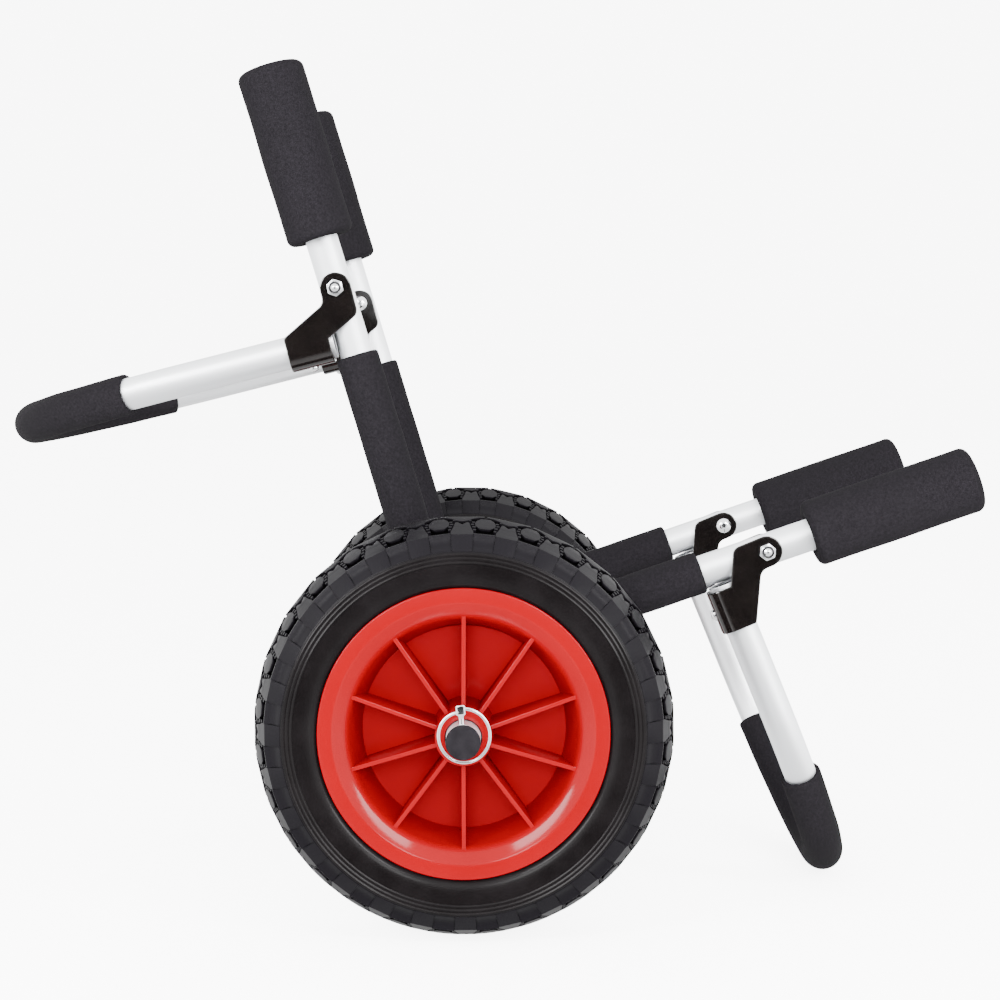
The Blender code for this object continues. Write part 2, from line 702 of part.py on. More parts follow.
def hoop_wall(inner, outer, hand, straight, first_step, last_step, run=0.0):
    """A round wall bent from one step of the hoop's bend to another, with a straight run at both ends."""
    centre = Vector((hand * straight, 0, -leg_offset_from_pivot))
    foot = centre - Vector((hand * run, hoop_radius, 0))
    bm = bmesh.new()
    spoke = [bm.verts.new(foot + Vector((0, 0, radius))) for radius in (inner, outer)]
    edge = bm.edges.new(spoke)
    bmesh.ops.spin(
        bm, geom=spoke + [edge], cent=foot, axis=(1, 0, 0), angle=math.tau, steps=hoop_sides, use_merge=True,
    )
    step = hand * math.pi / hoop_steps
    bmesh.ops.rotate(bm, cent=centre, matrix=Matrix.Rotation(step * first_step, 3, "Z"), verts=bm.verts)
    faces = bm.faces[:]
    if run:
        faces = stretched(bm, faces, (hand * run, 0, 0))
    steps = last_step - first_step
    swept = bmesh.ops.spin(bm, geom=faces, cent=centre, axis=(0, 0, 1), angle=step * steps, steps=steps)
    if run:
        last = [f for f in swept["geom_last"] if isinstance(f, bmesh.types.BMFace)]
        stretched(bm, last, (-hand * run, 0, 0))
        bmesh.ops.delete(bm, geom=[f for f in faces + last if f.is_valid], context="FACES_ONLY")
    return bm


def build_leg(name, hand, place, straight, root):
    """A U-shaped hoop leg with its padding, end plugs, brackets and screws, round its fold axis."""
    pivot = add_object(f"{name}_pivot", None, root, place)
    tube = hoop_wall(
        tube_inner_radius, tube_outer_radius, hand, straight, 0, hoop_steps, straight - leg_end,
    )
    hoop = piece(f"{name}_hoop", tube, "satin_aluminium", pivot)
    padding = hoop_wall(
        tube_outer_radius + sleeve_fit, hoop_sleeve_radius, hand, straight, hoop_sleeve_bare_steps,
        hoop_steps - hoop_sleeve_bare_steps,
    )
    piece(f"{name}_hoop_sleeve", padding, "charcoal_foam", pivot)
    for side, out in OUT_Y.items():
        drill = rod(web_screw_radius + bolt_fit, -2 * tube_outer_radius, 0, drill_sides)
        hole = Matrix.Translation((hand * web_screw_place, out * arm_half_spacing, -leg_offset_from_pivot))
        boolean(hoop, moved(drill, hole))
        build_bracket(name, side, hand, pivot)
        low = leg_end + plug_recess
        plug = rod(tube_inner_radius - touch_gap, low, low + plug_length, hoop_sides)
        turn = Matrix.Translation((0, out * arm_half_spacing, -leg_offset_from_pivot))
        turn @= Matrix.Rotation(hand * math.pi / 2, 4, "Y")
        piece(f"{name}_hoop_plug_{side}", plug, "black_plastic", pivot, turn)


def build_pivot_bolt(name, side, spot, turn, root):
    """Bolt with its head on the inner bracket ear and a lock nut on the outer one."""
    out = OUT_Y[side]
    place = Matrix.Translation(spot + Vector((0, out * arm_half_spacing, 0))) @ Matrix.Rotation(turn, 4, "Y")
    seat = bracket_outer_half + touch_gap
    nut_top = seat + nut_hex_height + nut_collar_height
    top = nut_top + bolt_end_proud
    shape = [(0, -seat - bolt_head_height), (bolt_head_flat_radius, -seat - bolt_head_height)]
    shape += [(bolt_head_crown_radius, -seat - bolt_head_crown_height)]
    shape += [(bolt_head_radius, -seat - bolt_head_rim_height), (bolt_head_radius, -seat)]
    shape += [(bolt_radius, -seat), (bolt_radius, top - bolt_end_chamfer)]
    shape += [(bolt_radius - bolt_end_chamfer, top), (0, top)]
    shape = [(r, out * y) for r, y in shape]
    piece(f"{name}_bolt_{side}", turned(shape, bolt_sides, "Y", closed=False), "bright_zinc", root, place)
    hexagon = nut_across_flats / math.sqrt(3)
    bore = bolt_radius + touch_gap
    wall = [(bore, out * y) for y in (nut_top, seat)]
    wall += [(hexagon, out * seat), (hexagon, out * (seat + nut_hex_height))]
    wall += [(nut_collar_radius, out * (seat + nut_hex_height)), (nut_collar_edge_radius, out * nut_top)]
    nut = turned(wall, bolt_sides, "Y")
    for v in nut.verts:
        on_hexagon = math.hypot(v.co.x, v.co.z) > nut_across_flats / 2
        if on_hexagon and round(math.atan2(v.co.z, v.co.x) / (math.pi / 6)) % 2:
            v.co.x *= nut_across_flats / 2 / hexagon
            v.co.z *= nut_across_flats / 2 / hexagon
    piece(f"{name}_lock_nut_{side}", nut, "bright_zinc", root, place)


def build_cart():
    """The whole cart, hung on one empty at the middle of the axle."""
    clear_scene()
    root = add_object("cart_root", None)
    root.location = (-outline_middle(), 0, axle_height)
    build_axle(root)
    for side, out in OUT_Y.items():
        build_side_frame(side, root)
        build_wheel(side, out, root)
        build_pivot_bolt("left_leg", side, left_pivot, left_nut_turn, root)
        build_pivot_bolt("right_leg", side, right_pivot, right_nut_turn, root)
    left = Matrix.Translation(left_pivot) @ Matrix.Rotation(math.pi - left_leg_angle, 4, "Y")
    build_leg("left_leg", -1, left, left_hoop_straight, root)
    right = Matrix.Translation(right_pivot) @ Matrix.Rotation(-right_leg_angle, 4, "Y")
    build_leg("right_leg", 1, right, right_hoop_straight, root)


build_cart()
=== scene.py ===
"""Looks of a two-wheeled paddleboard cart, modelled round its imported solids.

Metres, +Z up. The axle lies along Y and the near side is -Y. Places come from the frame's joints and boxes;
each class holds the finer sizes of its own pieces.
"""

import json
import logging
import math
from dataclasses import dataclass
from enum import Enum
from typing import Callable, Optional, Sequence, Union

import bmesh
import bpy
from mathutils import Matrix, Vector, noise


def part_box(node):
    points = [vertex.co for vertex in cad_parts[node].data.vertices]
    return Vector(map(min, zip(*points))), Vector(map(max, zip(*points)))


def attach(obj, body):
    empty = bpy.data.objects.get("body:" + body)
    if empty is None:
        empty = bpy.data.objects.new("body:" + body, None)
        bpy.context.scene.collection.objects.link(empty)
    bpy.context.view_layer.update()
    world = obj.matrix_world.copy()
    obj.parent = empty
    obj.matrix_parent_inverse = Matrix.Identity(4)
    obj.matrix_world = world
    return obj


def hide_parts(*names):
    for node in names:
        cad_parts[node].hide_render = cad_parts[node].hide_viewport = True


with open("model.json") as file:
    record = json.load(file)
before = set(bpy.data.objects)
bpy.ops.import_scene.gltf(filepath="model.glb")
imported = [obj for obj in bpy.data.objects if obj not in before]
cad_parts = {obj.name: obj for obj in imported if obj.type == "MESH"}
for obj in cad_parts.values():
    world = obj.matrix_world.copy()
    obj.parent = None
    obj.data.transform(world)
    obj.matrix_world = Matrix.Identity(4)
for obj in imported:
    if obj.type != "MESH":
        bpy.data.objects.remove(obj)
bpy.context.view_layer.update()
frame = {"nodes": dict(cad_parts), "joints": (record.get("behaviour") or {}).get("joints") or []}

log = logging.getLogger("cart")

Shape = bmesh.types.BMesh
Socket = bpy.types.NodeSocket
Tree = bpy.types.NodeTree
Pair = tuple[float, float]
Triple = tuple[float, float, float]
Profile = list[Pair]
Corners = Sequence[Triple]

# Metres within which points are one, and within which the halves of a mirrored sheet are joined
SAME_POINT, SEAM = 1e-7, 1e-6
QUARTER = math.pi / 2
VECTOR, COLOUR, VALUE = "NodeSocketVector", "NodeSocketColor", "NodeSocketFloat"


class Choice(Enum):
    """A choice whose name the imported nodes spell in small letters."""

    @property
    def word(self) -> str:
        """The choice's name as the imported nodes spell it."""
        return self.name.lower()


class Side(Choice):
    """The two sides of the cart, with the way that each faces along Y."""

    NEAR = -1
    FAR = 1


class Leg(Choice):
    """The two folding legs, with the way that each hoop lies along its own X."""

    LEFT_LEG = -1
    RIGHT_LEG = 1


class Face(Choice):
    """The two faces of a wheel, with the way that each looks along the wheel's Z."""

    OUTER = 1
    INNER = -1


# Shader nodes

class Wires:
    """Adds and links the nodes of one node tree."""

    def __init__(self, tree: Tree) -> None:
        """Keep the tree to work in."""
        self.tree = tree

    def feed(self, value: object, socket: Socket) -> None:
        """Link an output to a socket, or set the socket to a plain value.

        Args:
            value: The output or the value.
            socket: The socket.
        """
        if isinstance(value, bpy.types.NodeSocket):
            self.tree.links.new(value, socket)
        else:
            socket.default_value = value

    def node(self, kind: str, given: dict[Union[str, int], object], **settings: object) -> bpy.types.Node:
        """Add a node.

        Args:
            kind: The node's type name.
            given: What feeds its inputs, by name or number.
            settings: Properties of the node, set before its inputs are fed.

        Returns:
            The new node.
        """
        node = self.tree.nodes.new(kind)
        for key, value in settings.items():
            setattr(node, key, value)
        for key, value in given.items():
            self.feed(value, node.inputs[key])
        return node

    def add(self, kind: str, given: dict[Union[str, int], object], output: Union[str, int],
            **settings: object) -> Socket:
        """Add a node and give one of its outputs."""
        return self.node(kind, given, **settings).outputs[output]

    def math(self, what: str, first: object, second: object = 0.0, clamp: bool = False) -> Socket:
        """The result of one sum of two values or outputs."""
        return self.add("ShaderNodeMath", {0: first, 1: second}, 0, operation=what, use_clamp=clamp)

    def stretch(self, vector: Socket, scale: Triple) -> Socket:
        """A vector with each part multiplied."""
        return self.add("ShaderNodeMapping", {"Vector": vector, "Scale": scale}, "Vector", vector_type="POINT")

    def noise(self, vector: Socket, scale: object, detail: float, roughness: float = 0.5) -> Socket:
        """Soft noise on a vector, from 0 to 1."""
        given = {"Vector": vector, "Scale": scale, "Detail": detail, "Roughness": roughness}
        return self.add("ShaderNodeTexNoise", given, "Fac", noise_dimensions="3D")

    def spread(self, value: object, low: object, high: object) -> Socket:
        """A value from 0 to 1 spread between two others, which may be outputs."""
        given = {"Value": value, "To Min": low, "To Max": high}
        return self.add("ShaderNodeMapRange", given, "Result", clamp=True)

    def band(self, value: Socket, low: float, high: float) -> Socket:
        """A value's stretch between low and high, opened out to 0 to 1."""
        given = {"Value": value, "From Min": low, "From Max": high}
        return self.add("ShaderNodeMapRange", given, "Result", clamp=True)

    def blend(self, share: object, first: object, second: object) -> Socket:
        """Two colours mixed by a share from 0 to 1."""
        return self.add("ShaderNodeMix", {"Factor": share, "A": first, "B": second}, "Result", data_type="RGBA")


@dataclass(frozen=True)
class Effect:
    """An effect that several finishes share, as a shader node group with named sockets."""

    name: str
    inputs: dict[str, str]
    outputs: dict[str, str]
    fill: Callable[[Wires, dict[str, Socket]], dict[str, Socket]]

    def group(self) -> Tree:
        """The effect's node group.

        Returns:
            The group, made on first use.
        """
        found = bpy.data.node_groups.get(self.name)
        if found:
            return found
        group = bpy.data.node_groups.new(self.name, "ShaderNodeTree")
        for way, sockets in (("INPUT", self.inputs), ("OUTPUT", self.outputs)):
            for label, kind in sockets.items():
                group.interface.new_socket(label, in_out=way, socket_type=kind)
        wires = Wires(group)
        source, result = wires.node("NodeGroupInput", {}), wires.node("NodeGroupOutput", {})
        for label, value in self.fill(wires, source.outputs).items():
            wires.feed(value, result.inputs[label])
        return group


def fill_tone_drift(wires: Wires, given: dict[str, Socket]) -> dict[str, Socket]:
    """Slow change of colour and roughness over a surface, with a finer speckle on top.

    Args:
        wires: The group's wires.
        given: Its inputs.

    Returns:
        What feeds its outputs.
    """
    slow = wires.band(wires.noise(given["Vector"], given["Scale"], detail=3.0), 0.3, 0.7)
    fine = wires.band(wires.noise(given["Vector"], given["Speckle Scale"], detail=2.0), 0.3, 0.7)
    part = wires.math("MULTIPLY", wires.math("SUBTRACT", fine, 0.5), given["Speckle"])
    share = wires.math("ADD", slow, part, clamp=True)
    return {
        "Colour": wires.blend(share, given["Tone"], given["Other Tone"]),
        "Roughness": wires.spread(share, given["Roughness Low"], given["Roughness High"]),
    }


def fill_pitted_skin(wires: Wires, given: dict[str, Socket]) -> dict[str, Socket]:
    """Height of a fine skin: soft grain with small round pits.

    Args:
        wires: The group's wires.
        given: Its inputs.

    Returns:
        What feeds its outputs.
    """
    grain = wires.noise(given["Vector"], given["Grain Scale"], detail=3.0, roughness=0.6)
    cells = {"Vector": given["Vector"], "Scale": given["Pit Scale"]}
    away = wires.band(wires.add("ShaderNodeTexVoronoi", cells, "Distance", feature="F1"), 0.1, 0.45)
    deep = wires.math("MULTIPLY", wires.math("SUBTRACT", 1.0, away), given["Pits"])
    return {"Height": wires.math("SUBTRACT", grain, deep), "Pit Mask": deep}


def fill_rubbed_edge(wires: Wires, given: dict[str, Socket]) -> dict[str, Socket]:
    """Painted highlight: a mask of the sharp outer edges of a piece, broken up by noise.

    Args:
        wires: The group's wires.
        given: Its inputs.

    Returns:
        What feeds its output.
    """
    edge = wires.band(wires.add("ShaderNodeNewGeometry", {}, "Pointiness"), 0.52, 0.62)
    broken = wires.band(wires.noise(given["Vector"], given["Scale"], detail=4.0), 0.35, 0.6)
    return {"Mask": wires.math("MULTIPLY", edge, broken)}


TONE_DRIFT = Effect(
    "tone_drift",
    {"Vector": VECTOR, "Tone": COLOUR, "Other Tone": COLOUR, "Scale": VALUE, "Speckle Scale": VALUE,
     "Speckle": VALUE, "Roughness Low": VALUE, "Roughness High": VALUE},
    {"Colour": COLOUR, "Roughness": VALUE}, fill_tone_drift,
)
PITTED_SKIN = Effect(
    "pitted_skin", {"Vector": VECTOR, "Grain Scale": VALUE, "Pit Scale": VALUE, "Pits": VALUE},
    {"Height": VALUE, "Pit Mask": VALUE}, fill_pitted_skin,
)
# Painted highlight: sharp outer edges take a paler tone
PAINTED_EDGE_HIGHLIGHT = Effect("rubbed_edge", {"Vector": VECTOR, "Scale": VALUE}, {"Mask": VALUE}, fill_rubbed_edge)


# Finishes

class Paper:
    """A new material's wires, its shader and its object coordinates."""

    def __init__(self, name: str) -> None:
        """Make the material.

        Args:
            name: The material's name.
        """
        self.material = bpy.data.materials.new(name)
        self.material.use_nodes = True
        self.wires = Wires(self.material.node_tree)
        self.shader = self.material.node_tree.nodes["Principled BSDF"]
        self.place = self.wires.add("ShaderNodeTexCoord", {}, "Object")

    def set(self, **values: object) -> None:
        """Set or link sockets of the shader; an underscore in a name stands for a space."""
        for key, value in values.items():
            self.wires.feed(value, self.shader.inputs[key.replace("_", " ")])

    def use(self, effect: Effect, vector: Optional[Socket] = None, **values: object) -> dict[str, Socket]:
        """Place a shared effect.

        Args:
            effect: The effect.
            vector: What its Vector input reads, or the object's own coordinates.
            values: Its other inputs; an underscore stands for a space.

        Returns:
            Its outputs.
        """
        given = {key.replace("_", " "): value for key, value in values.items()}
        given["Vector"] = self.place if vector is None else vector
        return self.wires.node("ShaderNodeGroup", given, node_tree=effect.group()).outputs

    def bump(self, height: Socket, depth: float, strength: float) -> None:
        """Give the shader a bump, whose height of 1 stands for a depth in metres."""
        given = {"Strength": strength, "Distance": depth, "Height": height}
        self.set(Normal=self.wires.add("ShaderNodeBump", given, "Normal"))

    def attribute(self, name: str, output: str) -> Socket:
        """An attribute of the mesh."""
        return self.wires.add("ShaderNodeAttribute", {}, output, attribute_name=name)


def rgba(colour: Triple) -> tuple[float, float, float, float]:
    """A colour with full alpha."""
    return (*colour, 1.0)


@dataclass(frozen=True)
class Finish:
    """A surface finish, with the name of a material slot in the record.

    Its two tones and its two roughnesses drift into each other, with a speckle on top. Its bump is a fine grain.
    """

    name: str
    slot: str
    tone: Triple
    other_tone: Triple
    rough: Pair
    drift_scale: float
    speckle_scale: float
    speckle: float
    grain_scale: float
    bump_depth: float
    bump_strength: float
    gloss: dict[str, float]
    grain_detail: float = 2.0

    def material(self) -> bpy.types.Material:
        """The finish's material.

        Returns:
            The material, made on first use.
        """
        found = bpy.data.materials.get(self.name)
        if found:
            return found
        paper = Paper(self.name)
        self.dress(paper)
        return paper.material

    def coordinates(self, paper: Paper) -> Socket:
        """What drift and grain follow."""
        return paper.place

    def tint(self, paper: Paper, colour: Socket) -> Socket:
        """What the drifting colour becomes."""
        return colour

    def drift(self, paper: Paper, vector: Socket) -> dict[str, Socket]:
        """Place the drifting colour and roughness.

        Args:
            paper: The material's paper.
            vector: The coordinates that they follow.

        Returns:
            The outputs Colour and Roughness.
        """
        return paper.use(
            TONE_DRIFT, vector, Tone=rgba(self.tone), Other_Tone=rgba(self.other_tone), Scale=self.drift_scale,
            Speckle_Scale=self.speckle_scale, Speckle=self.speckle, Roughness_Low=self.rough[0],
            Roughness_High=self.rough[1],
        )

    def dress(self, paper: Paper) -> None:
        """Fill in the material's nodes.

        Args:
            paper: The material's paper.
        """
        vector = self.coordinates(paper)
        drift = self.drift(paper, vector)
        grain = paper.wires.noise(vector, self.grain_scale, self.grain_detail)
        paper.set(Base_Color=self.tint(paper, drift["Colour"]), Roughness=drift["Roughness"], **self.gloss)
        paper.bump(grain, self.bump_depth, self.bump_strength)


@dataclass(frozen=True)
class DrawnTube(Finish):
    """Tube with faint lines along its length, which follow its bends on the run attribute."""

    line_stretch: Triple = (1.0, 1.0, 0.03)

    def coordinates(self, paper: Paper) -> Socket:
        """The place on the straight tube, drawn out along it."""
        return paper.wires.stretch(paper.attribute("run", "Vector"), self.line_stretch)


@dataclass(frozen=True, kw_only=True)
class EdgeHighlightSkin(Finish):
    """A skin whose sharp edges are painted a paler tone, a painted highlight."""

    # The tone of the painted edge highlight
    edge_tone: Triple
    edge_scale: float

    def tint(self, paper: Paper, colour: Socket) -> Socket:
        """The colour with the painted highlight on its edges."""
        mask = paper.use(PAINTED_EDGE_HIGHLIGHT, Scale=self.edge_scale)["Mask"]
        return paper.wires.blend(mask, colour, rgba(self.edge_tone))


@dataclass(frozen=True, kw_only=True)
class PittedSkin(Finish):
    """A skin with fine round pits in its grain."""

    pit_scale: float
    pits: float

    def skin(self, paper: Paper) -> dict[str, Socket]:
        """The height of the grain and its pits, and the pits' mask."""
        return paper.use(PITTED_SKIN, Grain_Scale=self.grain_scale, Pit_Scale=self.pit_scale, Pits=self.pits)


@dataclass(frozen=True)
class CellFoam(PittedSkin):
    """Soft closed-cell foam with a dry skin, whose pits have a tone of their own."""

    pit_tone: Triple = (0.005, 0.0045, 0.005)

    def dress(self, paper: Paper) -> None:
        """Put grain and pits in the bump, and the pits in the colour.

        Args:
            paper: The material's paper.
        """
        drift, skin = self.drift(paper, paper.place), self.skin(paper)
        shade = paper.wires.blend(skin["Pit Mask"], drift["Colour"], rgba(self.pit_tone))
        paper.set(Base_Color=shade, Roughness=drift["Roughness"], **self.gloss)
        paper.bump(skin["Height"], self.bump_depth, self.bump_strength)


@dataclass(frozen=True)
class TyreRubber(PittedSkin):
    """Black tyre skin: satin on the wall, drier on the tread, and dull and darker in its grooves, a painted shade.
    """

    tread_rough: float = 0.45
    block_tone: Triple = (0.0021, 0.0017, 0.0025)
    # Painted shade: the grooves' darker tone
    groove_shade_tone: Triple = (0.0006, 0.0005, 0.0006)
    groove_shade_full: float = 0.6
    wall_shine: float = 0.04
    tread_shine: float = 0.08
    wall_coat: float = 0.1

    def dress(self, paper: Paper) -> None:
        """Tell wall, blocks and grooves apart by the mesh's tread and groove attributes; the grooves take a
        painted shade and lose their shine.

        Args:
            paper: The material's paper.
        """
        wires, drift = paper.wires, self.drift(paper, paper.place)
        tread = paper.attribute("tread", "Fac")
        groove_shade = wires.band(paper.attribute("groove_shade", "Fac"), 0.0, self.groove_shade_full)
        block = wires.blend(tread, drift["Colour"], rgba(self.block_tone))
        shine = wires.spread(tread, self.wall_shine, self.tread_shine)
        paper.set(
            Base_Color=wires.blend(groove_shade, block, rgba(self.groove_shade_tone)),
            Roughness=wires.spread(tread, drift["Roughness"], self.tread_rough),
            Specular_IOR_Level=wires.spread(groove_shade, shine, 0.0),
            Coat_Weight=wires.spread(tread, self.wall_coat, 0.0), **self.gloss,
        )
        paper.bump(self.skin(paper)["Height"], self.bump_depth, self.bump_strength)


# Satin anodised tube
ALUMINIUM = DrawnTube(
    "satin_tube", "tube_aluminium", (0.95, 0.965, 0.985), (0.91, 0.925, 0.95), (0.48, 0.58),
    drift_scale=60.0, speckle_scale=900.0, speckle=0.5, grain_scale=1500.0,
    bump_depth=0.00003, bump_strength=0.35, gloss={"Metallic": 1.0, "Anisotropic": 0.25},
)
# Soft foam of grips, sleeves and padding
FOAM = CellFoam(
    "cell_foam", "foam", (0.0038, 0.0034, 0.0041), (0.0070, 0.0062, 0.0075), (0.85, 0.98),
    drift_scale=620.0, speckle_scale=1500.0, speckle=0.7, grain_scale=1200.0,
    bump_depth=0.00025, bump_strength=0.55, gloss={"Specular IOR Level": 0.04}, pit_scale=850.0, pits=0.6,
)
# Sprayed black coat with a faint orange peel, and a painted highlight on its sharp edges
PAINT = EdgeHighlightSkin(
    "gloss_black_coat", "bracket_paint", (0.0013, 0.0010, 0.0010), (0.0024, 0.0019, 0.0018), (0.3, 0.4),
    drift_scale=90.0, speckle_scale=1200.0, speckle=0.35, grain_scale=260.0, grain_detail=1.0,
    bump_depth=0.00004, bump_strength=0.3, edge_tone=(0.008, 0.006, 0.0055), edge_scale=500.0,
    gloss={"Specular IOR Level": 0.0, "Coat Weight": 1.0, "Coat Roughness": 0.09},
)
# Bright plated steel, between polished and slightly cloudy
ZINC = Finish(
    "bright_plate", "fastener_zinc", (0.84, 0.85, 0.86), (0.74, 0.75, 0.77), (0.06, 0.14),
    drift_scale=350.0, speckle_scale=2500.0, speckle=0.6, grain_scale=2600.0,
    bump_depth=0.00002, bump_strength=0.35, gloss={"Metallic": 1.0},
)
# Matt moulded black, with a painted highlight on its sharp edges
BLACK_PLASTIC = EdgeHighlightSkin(
    "black_moulding", "plug_plastic", (0.0044, 0.0038, 0.0047), (0.0068, 0.0060, 0.0072), (0.45, 0.6),
    drift_scale=160.0, speckle_scale=1500.0, speckle=0.6, grain_scale=1800.0, grain_detail=3.0,
    bump_depth=0.00005, bump_strength=0.4, edge_tone=(0.04, 0.04, 0.042), edge_scale=700.0,
    gloss={"Specular IOR Level": 0.05},
)
# Smooth red moulding with slow waves, a little cloudy where it cooled last
RED_PLASTIC = Finish(
    "red_moulding", "rim_plastic", (0.124, 0.0, 0.0016), (0.115, 0.0, 0.0014), (0.36, 0.44),
    drift_scale=30.0, speckle_scale=1400.0, speckle=0.25, grain_scale=90.0,
    bump_depth=0.0001, bump_strength=0.2,
    gloss={"Specular IOR Level": 0.0, "Coat Weight": 0.28, "Coat Roughness": 0.11},
)
# Black tyre skin, a little pitted, with painted shade in its grooves
RUBBER = TyreRubber(
    "tyre_skin", "tyre", (0.0016, 0.0012, 0.0013), (0.0030, 0.0024, 0.0026), (0.30, 0.38),
    drift_scale=40.0, speckle_scale=900.0, speckle=0.5, grain_scale=1300.0,
    bump_depth=0.00012, bump_strength=0.3, gloss={"Coat Roughness": 0.2}, pit_scale=900.0, pits=0.2,
)


# Mesh helpers

def rounded(corners: Corners, closed: bool = True, fineness: int = 8) -> Profile:
    """Points along an outline whose corners are rounded by arcs.

    Args:
        corners: (x, y, radius) of each corner, where a radius of 0 stays sharp.
        closed: Whether the last corner joins the first; if not, the two ends stay sharp.
        fineness: Steps in a quarter turn.

    Returns:
        The points in order.
    """
    points: Profile = []
    count = len(corners)
    for i, (x, y, radius) in enumerate(corners):
        end = not closed and i in (0, count - 1)
        here = Vector((x, y))
        if radius <= 0 or end:
            points.append((x, y))
            continue
        back = (Vector(corners[i - 1][:2]) - here).normalized()
        ahead = (Vector(corners[(i + 1) % count][:2]) - here).normalized()
        half = back.angle(ahead) / 2
        middle = here + (back + ahead).normalized() * radius / math.sin(half)
        start = here + back * radius / math.tan(half) - middle
        sweep = start.angle_signed(here + ahead * radius / math.tan(half) - middle)
        steps = max(2, math.ceil(abs(sweep) / QUARTER * fineness))
        for step in range(steps + 1):
            point = middle + Matrix.Rotation(-sweep * step / steps, 2) @ start
            points.append((point.x, point.y))
    return points


def rows(first: Pair, last: Pair, spacing: float) -> Profile:
    """Evenly spaced points between two others.

    Args:
        first: The point before the first row.
        last: The point after the last row.
        spacing: The widest gap between rows.

    Returns:
        The points.
    """
    count = max(1, math.ceil(math.dist(first, last) / spacing))
    return [
        (first[0] + (last[0] - first[0]) * i / count, first[1] + (last[1] - first[1]) * i / count)
        for i in range(1, count)
    ]


def turned(profile: Profile, steps: int, closed: bool = True) -> Shape:
    """Turn a profile of (radius, height) points about Z.

    Args:
        profile: The points.
        steps: Facets in the full turn.
        closed: Whether the last point joins the first.

    Returns:
        The turned shape, welded at its seam and poles.
    """
    bm = bmesh.new()
    verts = [bm.verts.new((radius, 0, height)) for radius, height in profile]
    edges = [bm.edges.new(pair) for pair in zip(verts, verts[1:] + verts[:1] if closed else verts[1:])]
    bmesh.ops.spin(
        bm, geom=verts + edges, cent=(0, 0, 0), axis=(0, 0, 1), angle=math.tau, steps=steps, use_merge=True
    )
    bmesh.ops.remove_doubles(bm, verts=bm.verts, dist=SAME_POINT)
    return bm


def wall(inner: float, outer: float, low: float, high: float, edge: float, spacing: float,
         low_edge: float = 0.0) -> Profile:
    """Closed profile of a sleeve with rounded outer edges, in rows along its length.

    Args:
        inner: Bore radius.
        outer: Outer radius.
        low: Height of its lower end.
        high: Height of its upper end.
        edge: Radius of the outer edges.
        spacing: Length of a row.
        low_edge: Radius of the lower outer edge, if it differs.

    Returns:
        The profile's points.
    """
    lip = min(edge, (outer - inner) / 3)
    ring = rounded([(inner, low, lip), (outer, low, low_edge or edge), (outer, high, edge), (inner, high, lip)])
    points: Profile = []
    for here, ahead in zip(ring, ring[1:] + ring[:1]):
        points.append(here)
        # A long stretch along the sleeve gets rows
        if math.dist(here, ahead) > 1.5 * spacing and abs(here[0] - ahead[0]) < SEAM:
            points += rows(here, ahead, spacing)
    return points


def mark(bm: Shape, name: str, rule: Callable[[Vector], float]) -> None:
    """Give every point a value for a finish to read.

    Args:
        bm: The shape.
        name: The attribute's name.
        rule: Gives a point's value.
    """
    layer = bm.verts.layers.float.new(name)
    for v in bm.verts:
        v[layer] = rule(v.co)


def place(bm: Shape, matrix: Matrix) -> Shape:
    """Move a shape and give it back."""
    bmesh.ops.transform(bm, matrix=matrix, verts=bm.verts)
    return bm


def shift(x: float, y: float, z: float) -> Matrix:
    """A move without a turn."""
    return Matrix.Translation((x, y, z))


def reshape(bm: Shape, rule: Callable[[Vector], Vector]) -> Shape:
    """Move every point by a rule.

    Args:
        bm: The shape.
        rule: Gives each point's new place.

    Returns:
        The shape.
    """
    for v in bm.verts:
        v.co = rule(v.co)
    return bm


def whole(bm: Shape) -> list[object]:
    """All the geometry of a shape."""
    return bm.verts[:] + bm.edges[:] + bm.faces[:]


def points_of(geometry: Sequence[object]) -> list[bmesh.types.BMVert]:
    """The points among an operator's results."""
    return [part for part in geometry if isinstance(part, bmesh.types.BMVert)]


def repeat_round(bm: Shape, count: int) -> None:
    """Copy a shape round Z, so that it stands there a number of times in all."""
    last, steps = math.tau * (count - 1) / count, count - 1
    bmesh.ops.spin(bm, geom=whole(bm), cent=(0, 0, 0), axis=(0, 0, 1), angle=last, steps=steps, use_duplicate=True)


def bevel(bm: Shape, edges: list[bmesh.types.BMEdge], offset: float, segments: int = 2,
          clamp: bool = True) -> None:
    """Round off some edges.

    Args:
        bm: The shape.
        edges: Its edges to round.
        offset: Width of the rounding.
        segments: Steps of the rounding.
        clamp: Whether roundings stop where they would meet.
    """
    bmesh.ops.bevel(
        bm, geom=edges, affect="EDGES", offset=offset, segments=segments, profile=0.5, material=-1,
        clamp_overlap=clamp,
    )


def soften(bm: Shape, offset: float, angle: float, segments: int) -> Shape:
    """Round off every edge that turns sharply.

    Args:
        bm: The shape.
        offset: Width of the rounding.
        angle: The turn, in degrees, past which an edge is rounded.
        segments: Steps of the rounding.

    Returns:
        The shape.
    """
    bm.normal_update()
    limit = math.radians(angle)
    edges = [e for e in bm.edges if len(e.link_faces) == 2 and e.calc_face_angle(0.0) > limit]
    bevel(bm, edges, offset, segments)
    return bm


def as_mesh(name: str, bm: Shape) -> bpy.types.Mesh:
    """Turn a shape into a mesh, and free it.

    Args:
        name: The mesh's name.
        bm: The shape.

    Returns:
        The mesh.
    """
    mesh = bpy.data.meshes.new(name)
    bm.to_mesh(mesh)
    bm.free()
    return mesh


def add_object(name: str, data: bpy.types.ID) -> bpy.types.Object:
    """Put a new object into the scene.

    Args:
        name: The object's name.
        data: Its mesh, light or camera.

    Returns:
        The object.
    """
    made = bpy.data.objects.new(name, data)
    bpy.context.scene.collection.objects.link(made)
    return made


